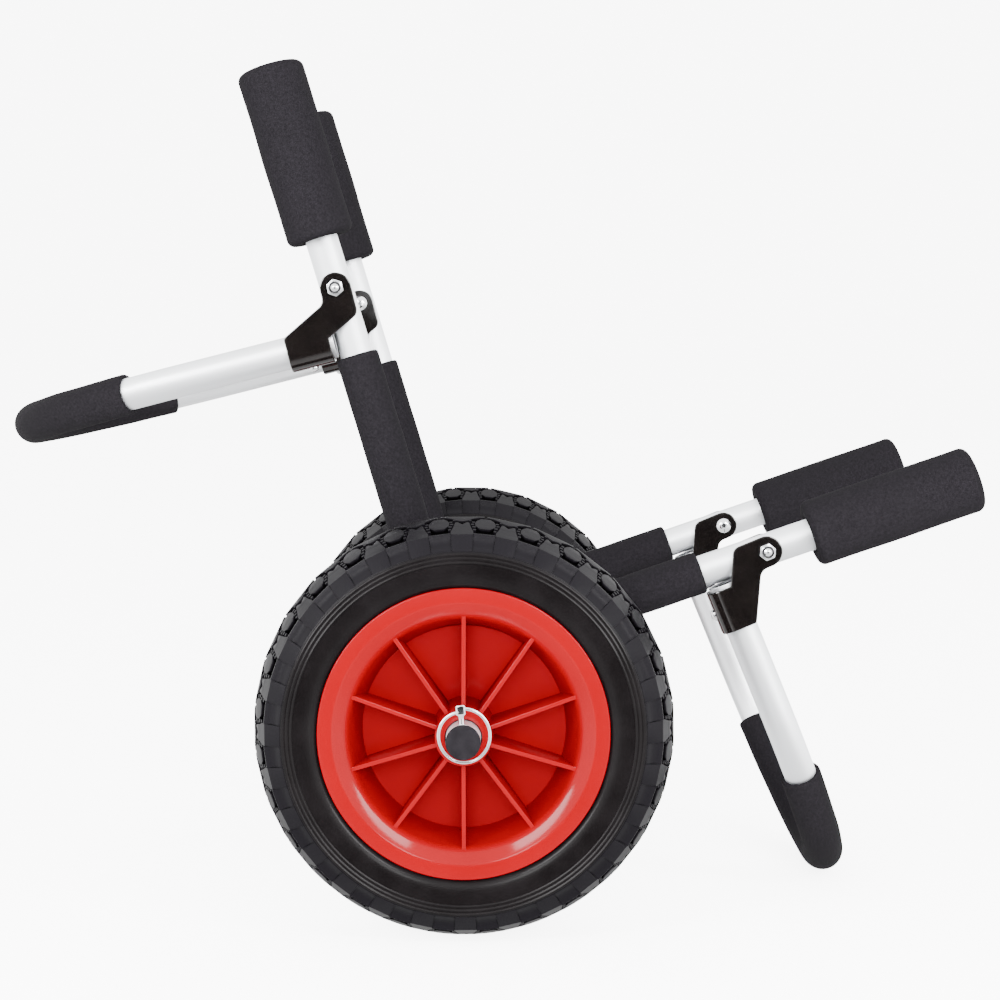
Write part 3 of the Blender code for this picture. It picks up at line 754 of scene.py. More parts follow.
def join(first: Shape, *others: Shape) -> Shape:
    """Put other shapes into the first one.

    Args:
        first: The shape that takes the others.
        others: The shapes, which are freed.

    Returns:
        The first shape.
    """
    for other in others:
        mesh = as_mesh("joined", other)
        first.from_mesh(mesh)
        bpy.data.meshes.remove(mesh)
    return first


def cut(body: Shape, tool: Shape) -> Shape:
    """Cut one closed shape out of another.

    Args:
        body: The shape to cut.
        tool: The cutter.

    Returns:
        What is left of the body.
    """
    things = []
    for bm in (body, tool):
        bmesh.ops.recalc_face_normals(bm, faces=bm.faces)
        things.append(add_object("cut", as_mesh("cut", bm)))
    step = things[0].modifiers.new("cut", "BOOLEAN")
    step.operation = "DIFFERENCE"
    step.solver = "EXACT"
    step.object = things[1]
    bpy.context.view_layer.update()
    result = bmesh.new()
    result.from_mesh(things[0].evaluated_get(bpy.context.evaluated_depsgraph_get()).data)
    for thing in things:
        mesh = thing.data
        bpy.data.objects.remove(thing, do_unlink=True)
        bpy.data.meshes.remove(mesh)
    return result


def piece(name: str, bm: Shape, where: Matrix, finish: Finish, body: str, node: str = "",
          sharp: float = 35.0) -> bpy.types.Object:
    """Turn a shape into a finished piece that rides on a body.

    Args:
        name: The piece's name.
        bm: Its shape, which is freed.
        where: Its place at rest.
        finish: Its finish.
        body: The body that it rides on.
        node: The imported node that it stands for, if there is one.
        sharp: Edges that turn by more than this many degrees stay sharp in the shading.

    Returns:
        The new object.
    """
    place(bm, where)
    bmesh.ops.remove_doubles(bm, verts=bm.verts, dist=SAME_POINT)
    bmesh.ops.recalc_face_normals(bm, faces=bm.faces)
    mesh = as_mesh(name, bm)
    mesh.shade_smooth()
    mesh.set_sharp_from_angle(angle=math.radians(sharp))
    mesh.materials.append(finish.material())
    made = add_object(name, mesh)
    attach(made, body)
    if node:
        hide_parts(node)
    log.info("%s: %d faces on %s", name, len(mesh.polygons), body)
    return made


# Places read from the frame

def joint_place(name: str) -> Vector:
    """Where a joint's axis stands at rest."""
    return Vector(next(j["pos_m"] for j in frame["joints"] if j["name"] == name))


def half_track(near_node: str) -> float:
    """How far a near node's middle lies from the cart's middle plane."""
    low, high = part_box(near_node)
    return -(low.y + high.y) / 2


def beside(spot: Vector, side: Side, distance: float) -> Vector:
    """A point of the cart's middle plane, moved out to one side."""
    return spot + Vector((0, side.value * distance, 0))


def facing(spot: Vector, side: Side, distance: float) -> Matrix:
    """A place on one side whose Z points out of the cart and whose X is the world's."""
    out, (x, y, z) = side.value, beside(spot, side, distance)
    return Matrix(((1, 0, 0, x), (0, 0, out, y), (0, -out, 0, z), (0, 0, 0, 1)))


@dataclass
class Layout:
    """The cart's main points and directions."""

    cradle_angle: float = math.radians(19.0)
    left_leg_angle: float = math.radians(87.35)
    right_leg_angle: float = math.radians(86.7)
    leg_offset: float = 0.0325

    def __post_init__(self) -> None:
        """Read the axle and the pivots from the frame, and work out where the arms' axes meet."""
        low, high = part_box("axle_tube")
        self.axle = (low + high) / 2
        self.arm_y = half_track("upright_tube_near")
        self.wheel_y = half_track("tyre_near")
        self.left_pivot = joint_place("left_leg_fold")
        self.right_pivot = joint_place("right_leg_fold")
        rise = self.left_pivot - self.axle
        self.upright_angle = math.atan2(rise.z, rise.x)
        self.upright_axis = rise.normalized()
        self.cradle_axis = Vector((math.cos(self.cradle_angle), 0, math.sin(self.cradle_angle)))
        reach = (self.right_pivot - self.axle).dot(self.cradle_axis)
        self.cradle_foot = self.right_pivot - self.cradle_axis * reach
        joint = (self.cradle_foot - self.axle).length / math.sin(self.upright_angle - self.cradle_angle)
        meeting = self.axle + self.upright_axis * joint
        self.cradle_start = (meeting - self.cradle_foot).dot(self.cradle_axis)

    def wheel_place(self, side: Side) -> Matrix:
        """A wheel's frame: X as the world's, Z out of the cart's side."""
        return facing(self.axle, side, self.wheel_y)


# Tubes and foam

@dataclass
class Tubing:
    """The tube stock, its plugs and the foam that is pushed over it."""

    radius: float = 0.0105
    bore: float = 0.009
    sides: int = 72
    row: float = 0.006
    bare_row: float = 0.05
    end_edge: float = 0.0003
    fit: float = 0.0002
    foam_waver: float = 0.00035
    foam_waver_length: float = 0.030
    foam_shrink: float = 0.3

    def tube(self, low: float, high: float, row: float) -> Shape:
        """A straight tube along Z with softened ends.

        Args:
            low: Height of its lower end.
            high: Height of its upper end.
            row: Length of its rows of faces.

        Returns:
            The tube, with each point's place kept as its run, for a finish that follows the tube's bends.
        """
        bm = turned(wall(self.bore, self.radius, low, high, self.end_edge, row), self.sides)
        layer = bm.verts.layers.float_vector.new("run")
        for v in bm.verts:
            v[layer] = v.co
        return bm

    def foam(self, radius: float, low: float, high: float, edge: float, low_edge: float = 0.0) -> Shape:
        """A foam sleeve along Z, a little uneven as soft foam is.

        Args:
            radius: Its outer radius.
            low: Height of its lower end.
            high: Height of its upper end.
            edge: Radius of its outer edges.
            low_edge: Radius of the lower outer edge, if it differs.

        Returns:
            The sleeve.
        """
        bore = self.radius + self.fit

        def waver(co: Vector) -> Vector:
            """Push a point of the outer skin in or out.

            Args:
                co: The point.

            Returns:
                Its new place.
            """
            share = max(0.0, min(1.0, (math.hypot(co.x, co.y) - bore) / (radius - bore)))
            push = self.foam_waver * share * noise.noise(co / self.foam_waver_length)
            out = Vector((co.x, co.y, 0)).normalized()
            return co + out * (push - self.foam_shrink * self.foam_waver * share)

        return reshape(turned(wall(bore, radius, low, high, edge, self.row, low_edge), self.sides), waver)

    def plug(self, low: float, seat: float, foot_edge: float, head: float = 0.0, head_edge: float = 0.0,
             seat_edge: float = 0.0) -> Shape:
        """A plug along Z for a tube's end, with or without a flat head over it.

        Args:
            low: Height of its inner end.
            seat: Height of the tube's end, or of the plug's own if it has no head.
            foot_edge: Radius of its inner edge.
            head: Thickness of the head.
            head_edge: Radius of the head's outer edge.
            seat_edge: Radius of the head's edge on the tube.

        Returns:
            The plug.
        """
        body = self.bore - self.fit
        corners = [(0, low, 0), (body, low, foot_edge), (body, seat, 0)]
        if head:
            corners += [(self.radius, seat, seat_edge), (self.radius, seat + head, head_edge)]
        return turned(rounded(corners + [(0, seat + head, 0)], closed=False), self.sides, closed=False)


@dataclass
class Arm:
    """One arm of a side frame: tube, long outer grip, thin inner sleeve and end cap.

    Its foot is the origin of its axis, in the cart's middle plane. The grip starts a distance past the pivot, and
    the sleeve ends short of it.
    """

    name: str
    tubing: Tubing
    layout: Layout
    foot: Vector
    axis: Vector
    pivot: Vector
    start: float
    grip_start: float
    grip_length: float
    sleeve_short: dict[Side, float]
    grip_radius: float = 0.0218
    grip_edge: float = 0.0052
    grip_low_edge: float = 0.0048
    grip_overhang: float = 0.002
    sleeve_radius: float = 0.0139
    sleeve_edge: float = 0.0022
    sleeve_gap: float = 0.005
    cap_depth: float = 0.012
    cap_foot_edge: float = 0.0005
    cap_head: float = 0.0015
    cap_edge: float = 0.0006

    def build(self, side: Side) -> None:
        """Make the arm on one side.

        Args:
            side: The side of the cart.
        """
        foot = beside(self.foot, side, self.layout.arm_y)
        turn = Vector((0, 0, 1)).rotation_difference(self.axis)
        where = Matrix.Translation(foot) @ turn.to_matrix().to_4x4()
        pivot = (self.pivot - self.foot).length
        grip_low = pivot + self.grip_start
        grip_high = grip_low + self.grip_length
        end = grip_high - self.grip_overhang
        sleeve_low = self.start + self.tubing.radius + self.sleeve_gap
        sleeve_high = pivot - self.sleeve_short[side]
        tube = self.tubing.tube(self.start, end, self.tubing.bare_row)
        grip = self.tubing.foam(self.grip_radius, grip_low, grip_high, self.grip_edge, self.grip_low_edge)
        sleeve = self.tubing.foam(self.sleeve_radius, sleeve_low, sleeve_high, self.sleeve_edge)
        cap = self.tubing.plug(end - self.cap_depth, end, self.cap_foot_edge, self.cap_head, self.cap_edge)
        for part, shape, finish in (
            ("tube", tube, ALUMINIUM), ("grip", grip, FOAM), ("sleeve", sleeve, FOAM), ("cap", cap, BLACK_PLASTIC),
        ):
            name, node = f"{side.word}_{self.name}_{part}", f"{self.name}_{part}_{side.word}"
            made = piece(name, shape, where, finish, "frame", node)


# Legs

@dataclass
class HoopLeg:
    """A folding leg: U-shaped tube, padded bend and two end plugs.

    Its bare angles are the degrees of the bend, from each end of it, that the padding leaves bare.
    """

    leg: Leg
    tubing: Tubing
    layout: Layout
    bare_angles: Pair
    bend_steps: int = 72
    foam_radius: float = 0.0135
    foam_edge: float = 0.0016
    tube_end: float = 0.0098
    plug_recess: float = 0.0014
    plug_length: float = 0.012
    plug_edge: float = 0.0005

    def __post_init__(self) -> None:
        """Read the leg's reach from its packed hoop."""
        self.name, self.hand = self.leg.word, self.leg.value
        self.bend_radius = self.layout.arm_y
        if self.leg is Leg.LEFT_LEG:
            pivot = self.layout.left_pivot
            angle = self.layout.upright_angle + self.layout.left_leg_angle
            turn = math.pi - angle
        else:
            pivot = self.layout.right_pivot
            angle = self.layout.cradle_angle - self.layout.right_leg_angle
            turn = -angle
        self.where = Matrix.Translation(pivot) @ Matrix.Rotation(turn, 4, "Y")
        along = Vector((math.cos(angle), 0, math.sin(angle)))
        reach = max((v.co - pivot).dot(along) for v in frame["nodes"][f"{self.name}_hoop"].data.vertices)
        self.straight = reach - self.bend_radius - self.tubing.radius

    def route(self, co: Vector) -> Vector:
        """Move a point of the straight tube to its place on the bent one.

        Args:
            co: The point, with the tube along Z.

        Returns:
            Its place from the pivot.
        """
        bend_end = self.straight + math.pi * self.bend_radius
        out = self.bend_radius + co.x
        if co.z < self.straight:
            spot = Vector((co.z, -self.bend_radius - co.x, co.y))
        elif co.z > bend_end:
            spot = Vector((self.straight - (co.z - bend_end), out, co.y))
        else:
            turn = (co.z - self.straight) / self.bend_radius
            spot = Vector((self.straight + out * math.sin(turn), -out * math.cos(turn), co.y))
        return Vector((self.hand * spot.x, spot.y, spot.z - self.layout.leg_offset))

    def build(self) -> None:
        """Make the tube, its padding and its plugs."""
        total = 2 * self.straight + math.pi * self.bend_radius
        row = math.pi * self.bend_radius / self.bend_steps
        tube = self.tubing.tube(self.tube_end, total - self.tube_end, row)
        reshape(tube, self.route)
        piece(f"{self.name}_loop", tube, self.where, ALUMINIUM, self.name, f"{self.name}_hoop")
        near, far = (self.straight + math.radians(bare) * self.bend_radius for bare in self.bare_angles)
        foam = reshape(self.tubing.foam(self.foam_radius, near, total - far, self.foam_edge), self.route)
        padding = piece(f"{self.name}_padding", foam, self.where, FOAM, self.name, f"{self.name}_hoop_sleeve")
        low = self.tube_end + self.plug_recess
        turn = Matrix.Rotation(self.hand * QUARTER, 4, "Y")
        for side in Side:
            spot = shift(0, side.value * self.bend_radius, -self.layout.leg_offset)
            piece(
                f"{self.name}_{side.word}_plug", self.tubing.plug(low, low + self.plug_length, self.plug_edge),
                self.where @ spot @ turn, BLACK_PLASTIC, self.name, f"{self.name}_hoop_plug_{side.word}",
            )


@dataclass(frozen=True)
class PanScrew:
    """A screw with a domed head above Z = 0 and its shank below; shares are of the head or the shank."""

    head: float
    height: float
    shank: float
    length: float
    dome: float = 0.0009
    under_edge: float = 0.0001
    flat_share: float = 0.55
    crown_round: float = 0.9
    cheek_share: float = 0.35
    cheek_round: float = 0.3
    tip_share: float = 0.84
    tip_flat: float = 0.3
    tip_round: float = 0.7
    recess_share: float = 0.62
    recess_width: float = 0.26
    recess_taper: float = 0.45

    def build(self) -> Shape:
        """Turn the screw and cut the cross recess into its head.

        Returns:
            The screw.
        """
        head, height, shank, length, dome = self.head, self.height, self.shank, self.length, self.dome
        profile = rounded([
            (0, height, 0),
            (head * self.flat_share, height, head * self.crown_round),
            (head, height * self.cheek_share, height * self.cheek_round),
            (head, 0, self.under_edge),
            (shank, 0, 0),
            (shank, 2 * dome - length, 0),
            (shank * self.tip_share, dome - length, dome / 3),
            (shank * self.tip_flat, -length, shank * self.tip_round),
            (0, -length, 0),
        ], closed=False)
        body = turned(profile, steps=48, closed=False)
        arm, depth = head * self.recess_share, height * self.recess_share
        for turn in (0.0, QUARTER):
            blade = bmesh.new()
            size = Matrix.Diagonal((2 * arm, head * self.recess_width, 2 * depth, 1))
            bmesh.ops.create_cube(blade, size=1, matrix=size)
            for v in blade.verts:
                if v.co.z < 0:
                    v.co.x *= self.recess_taper
            body = cut(body, place(blade, shift(0, 0, height) @ Matrix.Rotation(turn, 4, "Z")))
        return body


@dataclass
class Bracket:
    """A bracket folded from sheet, with its web screw; sizes run from the pivot."""

    leg: HoopLeg
    thickness: float = 0.002
    inner_half: float = 0.0108
    ear_radius: float = 0.010
    heel_depth: float = 0.0193
    heel_radius: float = 0.006
    web_start: float = 0.0121
    throat: float = 0.0026
    throat_radius: float = 0.0008
    reach: float = 0.0402
    toe_height: float = 0.0094
    toe_radius: float = 0.0022
    crook: float = 0.0247
    crook_radius: float = 0.007
    fold_radius: float = 0.0085
    fold_steps: int = 10
    edge: float = 0.0006
    screw_place: float = 0.027
    screw_lift: float = 0.0001
    screw: PanScrew = PanScrew(0.004, 0.0026, 0.002, 0.009)

    def shape(self) -> Shape:
        """Fold the sheet: one ear, half the web, mirrored, thickened and softened.

        Returns:
            The bracket.
        """
        lift = self.leg.layout.leg_offset
        outer = self.inner_half + self.thickness
        ear = self.ear_radius
        fold_start = -lift - outer + self.fold_radius
        outline = rounded([
            (-ear, ear, ear),
            (-ear, -self.heel_depth, self.heel_radius),
            (self.web_start, self.throat - lift, self.throat_radius),
            (self.web_start, fold_start, 0),
            (self.reach, fold_start, 0),
            (self.reach, self.toe_height - lift, self.toe_radius),
            (ear, self.crook - lift, self.crook_radius),
            (ear, ear, ear),
        ], fineness=12)
        bm = bmesh.new()
        face = bm.faces.new([bm.verts.new((x, outer, z)) for x, z in outline])
        fold = next(e for e in face.edges if all(abs(v.co.z - fold_start) < SAME_POINT for v in e.verts))
        bent = bmesh.ops.spin(
            bm, geom=[*fold.verts, fold], cent=(0, outer - self.fold_radius, fold_start), axis=(-1, 0, 0),
            angle=QUARTER, steps=self.fold_steps,
        )["geom_last"]
        grown = bmesh.ops.extrude_edge_only(bm, edges=[e for e in bent if isinstance(e, bmesh.types.BMEdge)])
        for v in points_of(grown["geom"]):
            v.co.y = 0
        bmesh.ops.mirror(bm, geom=whole(bm), axis="Y", merge_dist=SEAM)
        bmesh.ops.remove_doubles(bm, verts=bm.verts, dist=SEAM)
        bmesh.ops.recalc_face_normals(bm, faces=bm.faces)
        if max(bm.faces, key=lambda f: f.calc_center_median().y).normal.y < 0:
            bmesh.ops.reverse_faces(bm, faces=bm.faces)
        bmesh.ops.solidify(bm, geom=bm.faces[:], thickness=self.thickness)
        return soften(bm, self.edge, angle=50.0, segments=2)

    def build(self, side: Side) -> None:
        """Make the bracket and its screw on one side.

        Args:
            side: The side of the cart.
        """
        leg = self.leg
        out = leg.where @ shift(0, side.value * leg.layout.arm_y, 0)
        start = f"{leg.name}_{side.word}"
        piece(
            f"{start}_bracket", self.shape(), out @ Matrix.Diagonal((leg.hand, 1, 1, 1)), PAINT, leg.name,
            f"{leg.name}_bracket_{side.word}", sharp=20.0,
        )
        outer = self.inner_half + self.thickness
        spot = shift(leg.hand * self.screw_place, 0, -leg.layout.leg_offset - outer - self.screw_lift)
        down = out @ spot @ Matrix.Rotation(math.pi, 4, "X")
        node = f"{leg.name}_web_screw_{side.word}"
        piece(f"{start}_web_screw", self.screw.build(), down, ZINC, leg.name, node)


@dataclass
class PivotBolt:
    """Bolt with its head on the inner ear and a lock nut with its plastic ring on the outer one."""

    seat: float = 0.0129
    radius: float = 0.003
    head_radius: float = 0.0056
    head_height: float = 0.0036
    across_flats: float = 0.010
    hex_height: float = 0.0044
    hex_edge: float = 0.0005
    collar_height: float = 0.0016
    collar_radius: float = 0.0044
    collar_edge: float = 0.0005
    collar_lip: float = 0.0001
    collar_sink: float = 0.0002
    end_proud: float = 0.0007
    ring_wall: float = 0.0009
    ring_fit: float = 0.0001
    ring_drop: float = 0.0004

    def __post_init__(self) -> None:
        """Stack the nut's heights on its seat."""
        self.hex_top = self.seat + self.hex_height
        self.nut_top = self.hex_top + self.collar_height

    def bolt(self) -> Shape:
        """The bolt along Z, head low and its threaded end just past the nut.

        Returns:
            The bolt.
        """
        length = self.nut_top + self.end_proud + self.seat
        screw = PanScrew(self.head_radius, self.head_height, self.radius, length).build()
        return place(screw, shift(0, 0, -self.seat) @ Matrix.Rotation(math.pi, 4, "X"))

    def nut(self) -> Shape:
        """The hexagon with softened corners, and the collar rolled over its ring.

        Returns:
            The nut.
        """
        hexagon = bmesh.new()
        corner = self.across_flats / math.sqrt(3)
        bmesh.ops.create_cone(
            hexagon, cap_ends=True, segments=6, radius1=corner, radius2=corner, depth=self.hex_height,
            matrix=shift(0, 0, self.seat + self.hex_height / 2),
        )
        soften(hexagon, self.hex_edge, angle=30.0, segments=3)
        foot, inner = self.hex_top - self.collar_sink, self.radius + self.ring_wall
        collar = rounded([
            (inner, foot, 0), (self.collar_radius + self.collar_sink, foot, 0),
            (self.collar_radius, self.nut_top, self.collar_edge), (inner, self.nut_top, self.collar_lip),
        ])
        return join(hexagon, turned(collar, steps=48))

    def ring(self) -> Shape:
        """The dark locking ring between collar and bolt.

        Returns:
            The ring.
        """
        inner, outer = self.radius + self.ring_fit, self.radius + self.ring_wall - self.ring_fit
        foot, top = self.hex_top - self.ring_fit, self.nut_top - self.ring_drop
        return turned([(inner, foot), (outer, foot), (outer, top), (inner, top)], steps=48)

    def build(self, leg: Leg, side: Side, where: Matrix) -> None:
        """Set the bolt and its nut in one pivot.

        Args:
            leg: The leg that turns on it.
            side: The side of the cart.
            where: The pivot's place, with Z out of the cart.
        """
        start = f"{leg.word}_{side.word}"
        piece(f"{start}_pivot_bolt", self.bolt(), where, ZINC, "frame", f"{leg.word}_bolt_{side.word}")
        piece(f"{start}_nut", self.nut(), where, ZINC, "frame", f"{leg.word}_lock_nut_{side.word}", sharp=16.0)
        piece(f"{start}_nut_ring", self.ring(), where, BLACK_PLASTIC, "frame")


# Axle and its ends

@dataclass
class AxleSet:
    """The axle tube with caps, spacers, linch pins and pull rings."""

    tubing: Tubing
    layout: Layout
    cap_thickness: float = 0.0018
    cap_depth: float = 0.010
    cap_edge: float = 0.0007
    cap_foot_edge: float = 0.0004
    cap_seat_edge: float = 0.0001
    cap_gap: float = 0.0003
    spacer_radius: float = 0.0165
    spacer_edge: float = 0.0006
    pin_inset: float = 0.005
    pin_lean: float = math.radians(-4.5)
    pin_radius: float = 0.0019
    pin_tip_depth: float = 0.0102
    pin_tip_share: float = 0.8
    head_bottom: float = 0.0158
    head_height: float = 0.0062
    head_width: float = 0.0056
    head_edge: float = 0.0009
    neck: float = 0.0018
    neck_round: float = 0.001
    neck_inset: float = 0.0002
    neck_sink: float = 0.0004
    bore_height: float = 0.0187
    bore_radius: float = 0.0020
    bore_depth: float = 0.0042
    wire: float = 0.00105
    ring_radius: float = 0.01610
    ring_squash: float = 0.955
    ring_x: float = 0.00065
    ring_z: float = 0.00344
    ring_start: float = math.radians(2.5)
    ring_end: float = math.radians(342.8)
    ring_closing: float = 0.0017
    ring_bend: float = math.radians(75.0)
    ring_stub: float = 0.0006
    ring_rows: int = 120

    def __post_init__(self) -> None:
        """Read how far the axle's ends reach."""
        low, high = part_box("axle_cap_near")
        self.end = -low.y - self.layout.axle.y

    def build(self) -> None:
        """Make the axle and both of its ends."""
        length = self.end - self.cap_thickness - self.cap_gap
        lie = Matrix.Translation(self.layout.axle) @ Matrix.Rotation(-QUARTER, 4, "X")
        tube = self.tubing.tube(-length, length, self.tubing.bare_row)
        piece("axle", tube, lie, ALUMINIUM, "frame", "axle_tube")
        for side in Side:
            self.build_end(side)

    def build_end(self, side: Side) -> None:
        """Make cap, spacer, linch pin and ring of one end.

        Args:
            side: The side of the cart.
        """
        word = side.word
        out = self.layout.wheel_place(side) @ shift(0, 0, -self.layout.wheel_y)
        cap = self.tubing.plug(
            self.end - self.cap_depth, self.end - self.cap_thickness, self.cap_foot_edge, self.cap_thickness,
            self.cap_edge, self.cap_seat_edge,
        )
        piece(f"{word}_axle_plug", cap, out, BLACK_PLASTIC, "frame", f"axle_cap_{word}")
        low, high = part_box(f"axle_spacer_{word}")
        near, far = sorted((abs(low.y), abs(high.y)))
        inner = self.tubing.radius + self.tubing.fit
        spacer = turned(rounded([
            (inner, near, 0), (self.spacer_radius, near, self.spacer_edge),
            (self.spacer_radius, far, self.spacer_edge), (inner, far, 0),
        ]), self.tubing.sides)
        piece(f"{word}_spacer", spacer, out, BLACK_PLASTIC, "frame", f"axle_spacer_{word}")
        where = Matrix.Translation(beside(self.layout.axle, side, self.end - self.pin_inset))
        leant = where @ Matrix.Rotation(self.pin_lean, 4, "Y")
        piece(f"{word}_linch_pin", self.pin(side), leant, ZINC, "frame", f"linch_pin_{word}", sharp=20.0)
        piece(f"{word}_pull_ring", self.ring(), where, ZINC, f"{word}_ring", f"linch_ring_{word}")

    def pin(self, side: Side) -> Shape:
        """The pin: block head with a round bore in its outer face, a short neck, and a shank with a domed tip.

        Args:
            side: The side of the cart, which the bore looks out of.

        Returns:
            The pin.
        """
        half = self.head_width / 2
        head = bmesh.new()
        size = Matrix.Diagonal((self.head_width, self.head_width, self.head_height, 1))
        bmesh.ops.create_cube(head, size=1, matrix=shift(0, 0, self.head_bottom + self.head_height / 2) @ size)
        soften(head, self.head_edge, angle=30.0, segments=3)
        mouth = half - self.bore_depth
        bore = turned(
            [(0, mouth), (self.bore_radius, mouth), (self.bore_radius, 2 * half), (0, 2 * half)], steps=32,
            closed=False,
        )
        aim = Matrix.Rotation(-side.value * QUARTER, 4, "X")
        head = cut(head, place(bore, shift(0, 0, self.bore_height) @ aim))
        radius, tip, root = self.pin_radius, -self.pin_tip_depth, self.head_bottom + self.neck_sink
        shank = rounded([
            (0, tip, 0), (radius, tip, radius * self.pin_tip_share),
            (radius, self.head_bottom - self.neck, self.neck_round), (half - self.neck_inset, root, 0),
            (0, root, 0),
        ], closed=False)
        return join(head, turned(shank, steps=40, closed=False))

    def ring_route(self, co: Vector) -> Vector:
        """Move a point of a straight wire to its place on the ring, whose last stretch closes in.

        Args:
            co: The point, with the wire along Z.

        Returns:
            Its place from the pin's foot.
        """
        free = self.ring_start + (co.z - self.ring_stub) / self.ring_radius
        turn = min(max(free, self.ring_start), self.ring_end)
        share = min(max((turn - self.ring_end + self.ring_bend) / self.ring_bend, 0.0), 1.0)
        reach = self.ring_radius - self.ring_closing * share * share + co.x
        past = (free - turn) * self.ring_radius
        x = self.ring_squash * (reach * math.sin(turn) + past * math.cos(turn))
        z = reach * math.cos(turn) - past * math.sin(turn)
        return Vector((self.ring_x + x, co.y, self.ring_z + z))

    def ring(self) -> Shape:
        """The wire ring with both of its ends in the pin's head.

        Returns:
            The ring.
        """
        length = (self.ring_end - self.ring_start) * self.ring_radius + 2 * self.ring_stub
        inner = rows((self.wire, 0.0), (self.wire, length), length / self.ring_rows)
        profile = [(0.0, 0.0), (self.wire, 0.0), *inner, (self.wire, length), (0.0, length)]
        return reshape(turned(profile, steps=20, closed=False), self.ring_route)


# Wheels

@dataclass
class Rim:
    """Moulded rim: hub, disc and bowl in one, with ten thin ribs on each face, and its two hub bushes."""

    layout: Layout
    bore: float = 0.0123
    mouth: float = 0.0113
    mouth_depth: float = 0.0008
    mouth_edge: float = 0.0004
    hub_half: float = 0.047
    hub_radius: float = 0.0172
    hub_edge: float = 0.0012
    hub_foot: float = 0.0190
    disc_half: float = 0.0035
    floor_radius: float = 0.0630
    bowl_radius: float = 0.0705
    bowl_depth: float = 0.0052
    bowl_round: float = 0.008
    lip_inner: float = 0.0800
    lip_round: float = 0.004
    lip_radius: float = 0.0891
    lip_edge: float = 0.0011
    half_width: float = 0.0358
    flange: float = 0.0029
    flange_edge: float = 0.0004
    seat: float = 0.0762
    seat_edge: float = 0.001
    well: float = 0.0686
    well_half: float = 0.007
    well_round: float = 0.003
    rib_count: int = 10
    rib_top: float = 0.0026
    rib_foot: float = 0.0028
    rib_drop: float = 0.005
    rib_edge: float = 0.0004
    rib_foot_past: float = 0.002
    rib_end_past: float = 0.0012
    rib_end_before: float = 0.001
    bush_bore: float = 0.0108
    bush_radius: float = 0.0122
    bush_length: float = 0.018
    bush_edge: float = 0.0002
    bush_gap: float = 0.0001
    steps: int = 180

    def body(self) -> Shape:
        """The turned body.

        Returns:
            The body.
        """
        under = self.half_width - self.flange
        front = [
            (self.bore, self.hub_half - self.mouth_depth, 0),
            (self.mouth, self.hub_half - self.mouth_depth, 0),
            (self.mouth, self.hub_half, self.mouth_edge),
            (self.hub_radius, self.hub_half, self.hub_edge),
            (self.hub_foot, self.disc_half, 0),
            (self.floor_radius, self.disc_half, 0),
            (self.bowl_radius, self.half_width - self.bowl_depth, self.bowl_round),
            (self.lip_inner, self.half_width, self.lip_round),
            (self.lip_radius, self.half_width, self.lip_edge),
            (self.lip_radius, under, self.flange_edge),
            (self.seat, under, self.seat_edge),
            (self.well, self.well_half, self.well_round),
        ]
        back = [(r, -h, edge) for r, h, edge in reversed(front)]
        return turned(rounded(front + back, fineness=7), self.steps)

    def rib(self) -> Shape:
        """One rib above the disc, standing in the XZ plane, thinner at its outer edge.

        Returns:
            The rib.
        """
        top = self.half_width - self.bowl_depth
        inner = (self.bore + self.hub_radius) / 2
        sunk = self.disc_half / 2
        outline = [
            (inner, sunk),
            (self.floor_radius + self.rib_foot_past, sunk),
            (self.bowl_radius + self.rib_end_past, top),
            (self.bowl_radius - self.rib_end_before, top),
            (inner, self.hub_half - self.rib_drop),
        ]
        bm = bmesh.new()
        face = bm.faces.new([bm.verts.new((x, -self.rib_foot / 2, z)) for x, z in outline])
        grown = bmesh.ops.extrude_face_region(bm, geom=[face])["geom"]
        bmesh.ops.translate(bm, verts=points_of(grown), vec=(0, self.rib_foot, 0))
        for v in bm.verts:
            if v.co.z > top / 2:
                v.co.y *= self.rib_top / self.rib_foot
        edges = []
        for e in bm.edges:
            first, last = (v.co for v in e.verts)
            if min(first.z, last.z) > top / 2 and abs(first.y - last.y) < SAME_POINT:
                edges.append(e)
        bevel(bm, edges, self.rib_edge, clamp=False)
        bmesh.ops.recalc_face_normals(bm, faces=bm.faces)
        return bm

    def build(self, side: Side) -> None:
        """Make the rim and its bushes on one side.

        Args:
            side: The side of the cart.
        """
        word = side.word
        where = self.layout.wheel_place(side)
        body = self.body()
        for face in Face:
            ribs = place(self.rib(), Matrix.Rotation(QUARTER, 4, "Z"))
            if face is Face.INNER:
                place(ribs, Matrix.Rotation(math.pi, 4, "Y"))
            repeat_round(ribs, self.rib_count)
            join(body, ribs)
        piece(f"{word}_rim", body, where, RED_PLASTIC, f"{word}_wheel", f"rim_{word}", sharp=25.0)
        high = self.hub_half - self.mouth_depth - self.bush_gap
        low = high - self.bush_length
        outline = rounded([
            (self.bush_bore, low, 0), (self.bush_radius, low, 0), (self.bush_radius, high, self.bush_edge),
            (self.bush_bore, high, self.bush_edge),
        ])
        for face in Face:
            bush = turned([(r, face.value * h) for r, h in outline], steps=64)
            name = f"{word}_{face.word}_bush"
            piece(name, bush, where, BLACK_PLASTIC, f"{word}_wheel", f"hub_bush_{face.word}_{word}")


